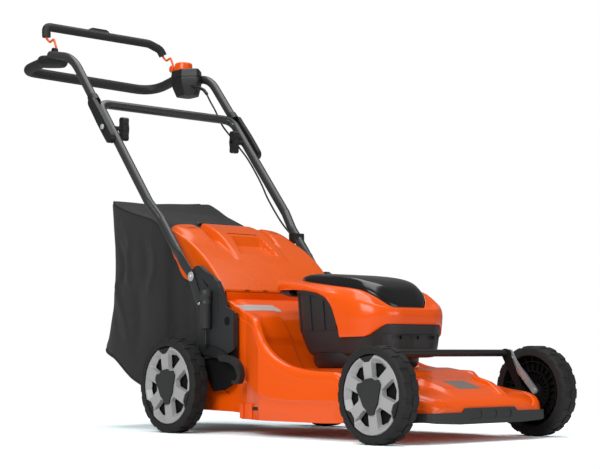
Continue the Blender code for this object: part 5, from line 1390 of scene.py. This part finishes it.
clamp = dict(
    # Sleeve: distance along the arm and width; then its thickness, standing off the tube's middle
    sleeve=((-0.042, 0.028), (-0.010, 0.0300), (0.020, 0.0305), (0.050, 0.0290), (0.075, 0.0275), (0.0980, 0.027)),
    thick=0.0130, away=0.0034, ring=(0.1000, 0.1220, 0.0156, 0.0146), hole=0.0045, bolt=0.0042,
    boss=((0.0045, -0.001), (0.0120, -0.001), (0.0120, 0.0016), (0.0104, 0.0022), (0.0090, 0.0003), (0.0045, 0.0003),
          (0.0045, -0.001)),
    hub=((0.0060, 0.1975), (0.0122, 0.1955), (0.0126, 0.1850), (0.0118, 0.1800), (0.0, 0.1796)),
    wing=((0.0060, 0.0310), (0.0098, 0.0260), (0.0088, 0.0150), (0.0115, 0.0)), wingThick=0.0190, wingAt=0.1850,
)
foldY, foldZ = handle["fold"]
for side, sign in (("right", -1), ("left", 1)):
    addPiece("upper_tube_" + side, tubeShape(upperRoute(sign), handle["tube"], 28), "tube", "upper_handle",
             ["upper_handle_" + side], sharp=40)
    plateX, thick, upperX = handle["upperX"] + clamp["away"], clamp["thick"], sign * handle["upperX"]
    line = fineLine([(*onArm(distance), wide) for distance, wide in clamp["sleeve"]], 3)
    outline = barOutline([p[:2] for p in line], [p[2] for p in line])
    boltHole = ringOf(handle["fold"], clamp["hole"], 24)
    sleeve = slabShape(outline, thick, sign * (plateX + thick / 2), "x", [boltHole])
    # Ring round the sleeve's upper end, and the raised ring round its bolt
    low, high, lowRadius, highRadius = clamp["ring"]
    shell = rodShape((upperX, *onArm(low)), (upperX, *onArm(high)), lowRadius, 32, highRadius)
    boss = [(radius, plateX + thick + far) for radius, far in clamp["boss"]]
    boss = spunShape(boss, (0, foldY, foldZ), (sign, 0, 0), 32)
    solid = carved(sleeve, shell, boss, operation="UNION")
    bore = tubeShape([(upperX, *onArm(0.09)), (upperX, *onArm(0.14))], handle["bore"], 28)
    addPiece("sleeve_" + side, carved(solid, bore), "black", "upper_handle", ["clamp_sleeve_" + side], bevel=0.0018,
             segments=3)
    head = plateX + thick + gap
    profile = [(0.0, head + 0.0050), (0.0050, head + 0.0048), (0.0070, head + 0.0034), (0.0075, head + 0.0020),
               (0.0075, head), (clamp["bolt"], head), (clamp["bolt"], 0.2000), (0.0, 0.2000)]
    addPiece("sleeve_bolt_" + side, spunShape(profile, (0, foldY, foldZ), (sign, 0, 0), 32), "zinc", "upper_handle",
             ["clamp_bolt_" + side])
    face = handle["armX"] - handle["tube"] - gap
    hub = [(0.0, face), (0.0058, face), (0.0060, face - 0.0010), *clamp["hub"]]
    hub = spunShape(hub, (0, foldY, foldZ), (sign, 0, 0), 32)
    half = list(clamp["wing"])
    wing = half + [(y, -z) for y, z in reversed(half[:-1])]
    wing += [(-y, z) for y, z in reversed(wing)]
    wing = roundedPath([(y + foldY, z + foldZ) for y, z in wing], 0.003, True, 3)
    wings = slabShape(wing, clamp["wingThick"], sign * clamp["wingAt"], "x")
    knob = carved(hub, wings, operation="UNION")
    knob = carved(knob, rodShape((sign * 0.17, foldY, foldZ), (sign * 0.22, foldY, foldZ), clamp["hole"], 24))
    addPiece("knob_" + side, knob, "black", "wing_knob_" + side, ["wing_knob_" + side], bevel=0.0014, segments=3)

# Grip bracket on the right: a sleeve round the loop's end with an ear for the bail
holder = dict(
    start=(-0.2345, 1.0260, 1.0225), end=(-0.2225, 0.9300, 1.0080),
    # Share of the way and radius
    sizes=((0.0, 0.0150), (0.02, 0.0172), (0.06, 0.0180), (0.22, 0.0184), (0.24, 0.0172), (0.28, 0.0172),
           (0.30, 0.0186), (0.80, 0.0182), (0.94, 0.0172), (0.99, 0.0150), (1.0, 0.0120)),
    ear=((0.9803, 1.0180), (1.0123, 1.0180), (1.0043, 1.0600), (0.9883, 1.0600)), earThick=0.0112, earAt=-0.2122,
    bailHole=0.0035,
)
rings = []
start, end = Vector(holder["start"]), Vector(holder["end"])
for share, size in holder["sizes"]:
    at = start.lerp(end, share)
    rings.append([(at.x + size * math.cos(a), at.y, at.z + size * math.sin(a)) for a in
                  (2 * math.pi * k / 36 for k in range(36))])
body = loftShape(rings)
ear = slabShape(roundedPath(holder["ear"], 0.006, True, 5), holder["earThick"], holder["earAt"], "x")
body = carved(body, ear, operation="UNION")
body = carved(body, rodShape((-0.24, *handle["bailAxis"]), (-0.19, *handle["bailAxis"]), holder["bailHole"], 20))
addPiece("grip_holder", body, "black", "upper_handle", ["grip_bracket"], bevel=0.0010, sharp=40)

control = dict(
    middle=0.2015, rearChamfer=0.4,
    # Half width, front, rear, chamfer and height of each ring
    rings=(
        (0.020, 0.893, 0.948, 0.014, 0.9560), (0.026, 0.886, 0.956, 0.020, 0.9576),
        (0.0345, 0.876, 0.968, 0.030, 0.9850), (0.0385, 0.872, 0.972, 0.034, 1.0030),
        (0.0385, 0.872, 0.972, 0.034, 1.0100), (0.0368, 0.8736, 0.9704, 0.0335, 1.0108),
        (0.0368, 0.8736, 0.9704, 0.0335, 1.0124), (0.0385, 0.872, 0.972, 0.034, 1.0132),
        (0.0368, 0.874, 0.970, 0.033, 1.0330), (0.0335, 0.878, 0.967, 0.031, 1.0362),
    ),
    ear=((0.9400, 1.0080), (0.9700, 1.0080), (1.0060, 1.0420), (1.0043, 1.0600), (0.9883, 1.0600), (0.9400, 1.0340)),
    earThick=0.0076, earAt=0.2107, relief=0.0048,
    reliefLine=((0.190, 0.905, 0.988), (0.190, 0.846, 0.9700), (0.190, 0.829, 0.9625), (0.190, 0.8145, 0.9485)),
    button=(0.195, 0.938), dome=0.0262,
    rim=((0.0006, 1.0352), (0.0036, 1.0352), (0.0032, 1.0385), (0.0018, 1.0392), (0.0006, 1.0385), (0.0006, 1.0352)),
)


def boxRing(half, front, rear, chamfer, z):
    middle, back = control["middle"], chamfer * control["rearChamfer"]
    corners = [
        (middle - half, front + chamfer, z), (middle - half + chamfer, front, z), (middle + half - chamfer, front, z),
        (middle + half, front + chamfer, z), (middle + half, rear - back, z), (middle + half - back, rear, z),
        (middle - half + back, rear, z), (middle - half, rear - back, z),
    ]
    return roundedPath(corners, 0.006, True, 3)


shape = loftShape([boxRing(*row) for row in control["rings"]])
ear = slabShape(roundedPath(control["ear"], 0.005, True, 5), control["earThick"], control["earAt"], "x")
strainRelief = tubeShape(control["reliefLine"], control["relief"], 20)
shape = carved(shape, ear, strainRelief, operation="UNION")
button = control["button"]
shape = carved(
    shape, rodShape((*button, 1.022), (*button, 1.060), control["dome"] + 0.0004, 48),
    rodShape((0.19, *handle["bailAxis"]), (0.24, *handle["bailAxis"]), holder["bailHole"], 20),
)
addPiece("control_housing", shape, "black", "upper_handle", ["control_box"], bevel=0.0014, sharp=22)
size = control["dome"]
rim = [(size + away, z) for away, z in control["rim"]]
addPiece("button_rim", spunShape(rim, (*button, 0), (0, 0, 1), 48), "orange", "upper_handle")
profile = [(0.0, 1.0310), (size, 1.0310), (size, 1.0530)]
turns = [math.pi / 2 * k / 8 for k in range(9)]
profile += [(size - 0.0070 * (1 - math.cos(a)), 1.0540 + 0.0060 * math.sin(a)) for a in turns]
profile += [(0.0120, 1.0612), (0.0, 1.0616)]
dome = spunShape(profile, (*button, 0), (0, 0, 1), 64)
addPiece("button_dome", dome, "orange", "start_button", ["start_button"], sharp=50)
hub = [(0.0, 0.1890), (0.0088, 0.1890), (0.0105, 0.1905), (0.0105, 0.2050), (0.0094, 0.2062), (0.0, 0.2062)]
addPiece("bail_hub", spunShape(hub, (0, *handle["bailAxis"]), (1, 0, 0), 32), "orange", "bail")

bail = dict(
    top=((-0.2036, 1.0600, 1.1350), (0.1520, 1.0600, 1.1350), (0.1930, 1.0590, 1.1220)),
    leg=((0.2125, 0.9963, 1.0516), (0.2030, 0.9963, 1.0516), (0.2030, 1.0173, 1.0912), (0.2030, 1.0385, 1.0854),
         (0.2035, 1.0560, 1.0985)),
    coverEnd=(0.2035, 1.0577, 1.1042), blockThick=0.0150, blockAt=1.0600,
    block=((-0.062, 1.1400), (0.010, 1.1400), (0.004, 1.1500), (-0.004, 1.1535), (-0.052, 1.1535), (-0.058, 1.1500)),
)
right = [(-x, y, z) for x, y, z in bail["leg"]]
left = list(bail["leg"])[::-1]
wireLine = roundedPath(right + list(bail["top"]) + left,
                       [0, 0.003, 0.006, 0.008, 0.004, 0.034, 0.060, 0.034, 0.004, 0.008, 0.006, 0.003, 0], steps=8)
addPiece("bail_rod", tubeShape(wireLine, handle["wire"], 16), "wire", "bail", ["bail_wire"], sharp=50)
x, y, z = bail["coverEnd"]
covered = roundedPath([(-x, y, z), *bail["top"], (x, y, z)], [0, 0.034, 0.060, 0.034, 0], steps=12)
sleeve = tubeShape(covered, handle["sleeve"], 28)
block = slabShape(bail["block"], bail["blockThick"], bail["blockAt"], "y")
sleeve = carved(sleeve, block, operation="UNION")
addPiece("bail_cover", sleeve, "grip", "bail", ["bail_sleeve"], bevel=0.0010, sharp=50)
print("handles made")


# Grass bag: a fabric shell that sags between its piped seams, on a moulded mouth frame

bag = dict(
    slices=84, corner=0.0130, wall=0.0016, piping=0.0026, binding=0.0056, sag=0.0075,
    stations=(
        # Top (y, z), bottom (y, z), half width
        (0.3370, 0.4000, 0.3370, 0.1690, 0.1640), (0.4000, 0.4560, 0.4200, 0.1690, 0.1720),
        (0.4560, 0.4860, 0.4660, 0.1500, 0.1780), (0.4850, 0.5060, 0.4860, 0.1120, 0.1900),
        (0.5321, 0.5361, 0.5200, 0.0980, 0.1970), (0.6247, 0.5619, 0.6050, 0.1240, 0.2000),
        (0.7064, 0.5874, 0.7180, 0.1840, 0.1930), (0.7640, 0.6060, 0.7930, 0.1990, 0.1640),
        (0.7780, 0.6040, 0.8160, 0.2050, 0.1480),
    ),
    pull=((0.0, 0.0), (0.10, 0.35), (0.30, 0.95), (0.50, 1.0), (0.70, 0.85), (0.90, 0.30), (1.0, 0.0)),
    waist=0.0430, rearDish=0.0200,
    farSide=((0.450, 0.0), (0.540, -0.015), (0.631, -0.022), (0.716, -0.010), (0.764, 0.012), (0.778, 0.014)),
    # Folds of the side panels: the line (y, z), half width and height
    folds=(
        (((0.6650, 0.5350), (0.6450, 0.5050), (0.6330, 0.4800), (0.6480, 0.4400), (0.6400, 0.3850)), 0.0095, 0.0062),
        (((0.6950, 0.4850), (0.6720, 0.4500), (0.6620, 0.4250), (0.6800, 0.3900)), 0.0110, -0.0075),
        (((0.5350, 0.4750), (0.5240, 0.4350), (0.5280, 0.4000), (0.5480, 0.3600)), 0.0090, 0.0046),
        (((0.5700, 0.4900), (0.5580, 0.4400), (0.5650, 0.3950)), 0.0120, -0.0040),
        (((0.7150, 0.3750), (0.6900, 0.3250), (0.6650, 0.2850), (0.6450, 0.2300)), 0.0075, 0.0058),
        (((0.7300, 0.3300), (0.7000, 0.2750), (0.6800, 0.2250)), 0.0120, -0.0045),
        (((0.4650, 0.2600), (0.4700, 0.2250), (0.4900, 0.1900)), 0.0065, 0.0032),
        (((0.6000, 0.3400), (0.5900, 0.2600), (0.6050, 0.1900)), 0.0180, -0.0040),
        (((0.6700, 0.5650), (0.6000, 0.5350), (0.5400, 0.5150)), 0.0090, -0.0048),
    ),
    # Mouth frame and its opening: half width, low, high, corner
    frame=(0.1650, 0.1680, 0.4010, 0.020), opening=(0.1500, 0.1830, 0.3860, 0.012), frameAt=0.3300, frameDepth=0.0125,
    hook=((0.2960, 0.3223), (0.3280, 0.3223), (0.3280, 0.3300), (0.2960, 0.3300)), hookWidth=0.030, hookAt=0.158,
    grab=((-0.074, 0.4990, 0.5080), (-0.074, 0.5010, 0.5290), (0.030, 0.5010, 0.5290), (0.030, 0.4990, 0.5080)),
    grabRadius=0.0052, grabBend=0.010,
)


def bagTrack(t):
    return [smoothBetween([(k, row[axis]) for k, row in enumerate(bag["stations"])], t) for axis in range(5)]


def lineDistance(point, line):
    best = 1.0
    for a, b in zip(line, line[1:]):
        a, b = Vector(a), Vector(b)
        share = max(0.0, min(1.0, (point - a).dot(b - a) / (b - a).length_squared))
        best = min(best, (point - a.lerp(b, share)).length)
    return best


def sidePush(y, z, phase):
    push = 0.0
    for line, reach, height in bag["folds"]:
        far = lineDistance(Vector((y, z)), line) / reach
        if far < 3:
            push += height * math.exp(-far * far)
    push += 0.0030 * noise.noise(Vector((y * 9 + phase, z * 7, phase)))
    return push + 0.0012 * noise.noise(Vector((y * 28, z * 22 + phase, 3 * phase)))


def bagRing(t):
    topY, topZ, lowY, lowZ, half = bagTrack(t)
    low, top = Vector((lowY, lowZ)), Vector((topY, topZ))
    height = (top - low).length
    rise = (top - low) / height
    out = Vector((rise.y, -rise.x))
    share = max(0.0, min(1.0, (t - 5.2) / 2.2))
    ring = []
    for x, v in planPoints(half, 0, height, bag["corner"], arc=5, side=38):
        level = v / height
        place = low + rise * v
        waist = between(bag["pull"], level)
        # Towards the rear the panels draw in between the four corners
        place -= out * bag["waist"] * waist * share * share
        edge = max(0.0, 1.0 - abs(abs(x) - half) / 0.004)
        inner = min(1.0, 2.4 * level, 2.4 * (1 - level))
        start = min(1.0, t / 0.9)
        side = math.copysign(1, x)
        sunk = bag["sag"] * waist * start
        if edge > 0:
            x -= side * edge * (sunk - sidePush(place.x, place.y, 0.4 if x < 0 else 5.1) * inner * start)
        flat = 1.0 - min(1.0, abs(x) / half) ** 2
        place.y += between(bag["farSide"], topY) * (0.5 + x / half / 2) * level * level
        if level > 0.985:
            place.y -= (0.0035 + 0.0028 * noise.noise(Vector((x * 10, place.x * 12, 2.0)))) * flat * start
        ring.append((x, place.x, place.y))
    return ring


def bagShape():
    last = len(bag["stations"]) - 1
    rings = [bagRing(last * k / bag["slices"]) for k in range(bag["slices"] + 1)]
    rear = rings[-1]
    middle = sum((Vector(p) for p in rear), Vector()) / len(rear)
    for share in (0.985, 0.94, 0.86, 0.76, 0.64, 0.50, 0.36, 0.20, 0.06):
        ring = []
        dish = bag["rearDish"] * (1 - share * share)
        for point in rear:
            p = middle.lerp(Vector(point), share)
            p.y += -dish + 0.0035 * noise.noise(Vector((p.x * 12, 4.0, p.z * 11))) * (1 - share)
            ring.append(tuple(p))
        rings.append(ring)
    return loftShape(rings, (False, True))


def bagEdge(corner, t0, t1, count=48, drop=0.0):
    # A line along one long edge of the bag, for its piping
    points = []
    for k in range(count + 1):
        ring = bagRing(t0 + (t1 - t0) * k / count)
        side, level = corner
        pick = max(ring, key=lambda p: p[0] * side * 2.0 + p[2] * level)
        points.append(Vector(pick) + Vector((0, 0, drop)))
    return points


def clothFinish():
    # Woven polyester: a fine grid of threads over soft shading
    mat = looks["cloth"]
    tree = mat.node_tree
    bump = tree.nodes["Bump"]
    place = tree.nodes["Texture Coordinate"]
    threads = []
    for direction in ("Y", "Z"):
        wave = tree.nodes.new("ShaderNodeTexWave")
        wave.bands_direction = direction
        wave.inputs["Scale"].default_value = 420.0
        wave.inputs["Distortion"].default_value = 0.4
        wire(tree, place.outputs["Object"], wave.inputs["Vector"])
        threads.append(wave)
    weave = tree.nodes.new("ShaderNodeMath")
    weave.operation = "MAXIMUM"
    wire(tree, threads[0].outputs["Fac"], weave.inputs[0])
    wire(tree, threads[1].outputs["Fac"], weave.inputs[1])
    wire(tree, weave.outputs["Value"], bump.inputs["Height"])
    shader = tree.nodes["Principled BSDF"]
    shader.inputs["Sheen Weight"].default_value = 0.08
    shader.inputs["Sheen Roughness"].default_value = 0.6


clothFinish()
addPiece("bag_cloth", bagShape(), "cloth", "grass_bag", ["grass_bag"], sharp=60, wall=bag["wall"])
trims = []
for side in (-1, 1):
    trims.append(tubeShape(bagEdge((side, 3.0), 0.4, 8.0), bag["piping"], 10))
    trims.append(tubeShape(bagEdge((side, -3.0), 3.0, 8.0, drop=0.0010), bag["binding"], 10))
addPiece("bag_piping", merged(*trims), "rubber", "grass_bag", sharp=60)
rearRing = [Vector(p) for p in bagRing(8.0)]
addPiece("bag_rear_hem", tubeShape(rearRing + rearRing[:1], bag["piping"], 10), "rubber", "grass_bag", sharp=60)

outline, hole = (planPoints(*bag[name], arc=8, side=4) for name in ("frame", "opening"))
frameShape = slabShape(outline, bag["frameDepth"], bag["frameAt"], "y", [hole])
hooks = [slabShape(bag["hook"], bag["hookWidth"], sign * bag["hookAt"], "x") for sign in (-1, 1)]
frameShape = carved(frameShape, *hooks, operation="UNION")
addPiece("mouth_frame", frameShape, "black", "grass_bag", ["bag_frame"], bevel=0.0016)

# Carrying handle on the top panel, just behind the flap
grab = roundedPath(bag["grab"], [0, bag["grabBend"], bag["grabBend"], 0], steps=8)
feet = [boxShape((x - 0.010, 0.4880, 0.5000), (x + 0.010, 0.5120, 0.5110)) for x in (-0.074, 0.030)]
grab = merged(tubeShape(grab, bag["grabRadius"], 16), *feet)
addPiece("bag_grab", grab, "black", "grass_bag", bevel=0.0015, sharp=40)
print("bag made")


# Control cable: one cord from the control box along the left arm to the hood, and its clip

cable = dict(
    radius=0.0025,
    points=(
        (0.190, 0.8155, 0.9500), (0.1903, 0.8125, 0.9440), (0.192, 0.8000, 0.9240), (0.196, 0.7820, 0.8960),
        (0.200, 0.7560, 0.8520), (0.2035, 0.7120, 0.8060), (0.2035, 0.6400, 0.7390), (0.2025, 0.5808, 0.6667),
        (0.1990, 0.5413, 0.6129), (0.1985, 0.4811, 0.5429), (0.1985, 0.4300, 0.4980), (0.1975, 0.3850, 0.4500),
        (0.1975, 0.3300, 0.4070), (0.1970, 0.2700, 0.3800), (0.1960, 0.2300, 0.3560), (0.1900, 0.1950, 0.3300),
        (0.1730, 0.1450, 0.3050), (0.1590, 0.1000, 0.2620), (0.1480, 0.0600, 0.2350), (0.1256, 0.0350, 0.2300),
    ),
    bend=((0.2034, 0.6340, 0.7315), (0.2022, 0.5740, 0.6580)),  # points on the cord at each end of its stretch along the upper handle
    clip=((0.4240, 0.4860), (0.4480, 0.4860), (0.4490, 0.5140), (0.4250, 0.5140)), clipWidth=0.034, clipAt=0.2110,
    clipHole=0.0028,
)
cableLine = fineLine(cable["points"], 6)
cord = addPiece("cable_cord", tubeShape(cableLine, cable["radius"], 12), "rubber", None,
                ["control_cable_upper", "control_cable_lower"], sharp=60)
start, end = (tuple(Vector(p) + toRow) for p in cable["bend"])
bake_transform(cord)

clip = carved(
    slabShape(roundedPath(cable["clip"], 0.004, True, 3), cable["clipWidth"], cable["clipAt"], "x"),
    tubeShape(roundedPath(lowerArm(1), [0, 0.03, 0.05, 0], steps=8)[::-1], handle["bore"], 24),
    tubeShape(cableLine, cable["clipHole"], 12),
)
addPiece("clip_low", clip, "black", "chassis", ["cable_clip"], bevel=0.0012)
print("cable made")
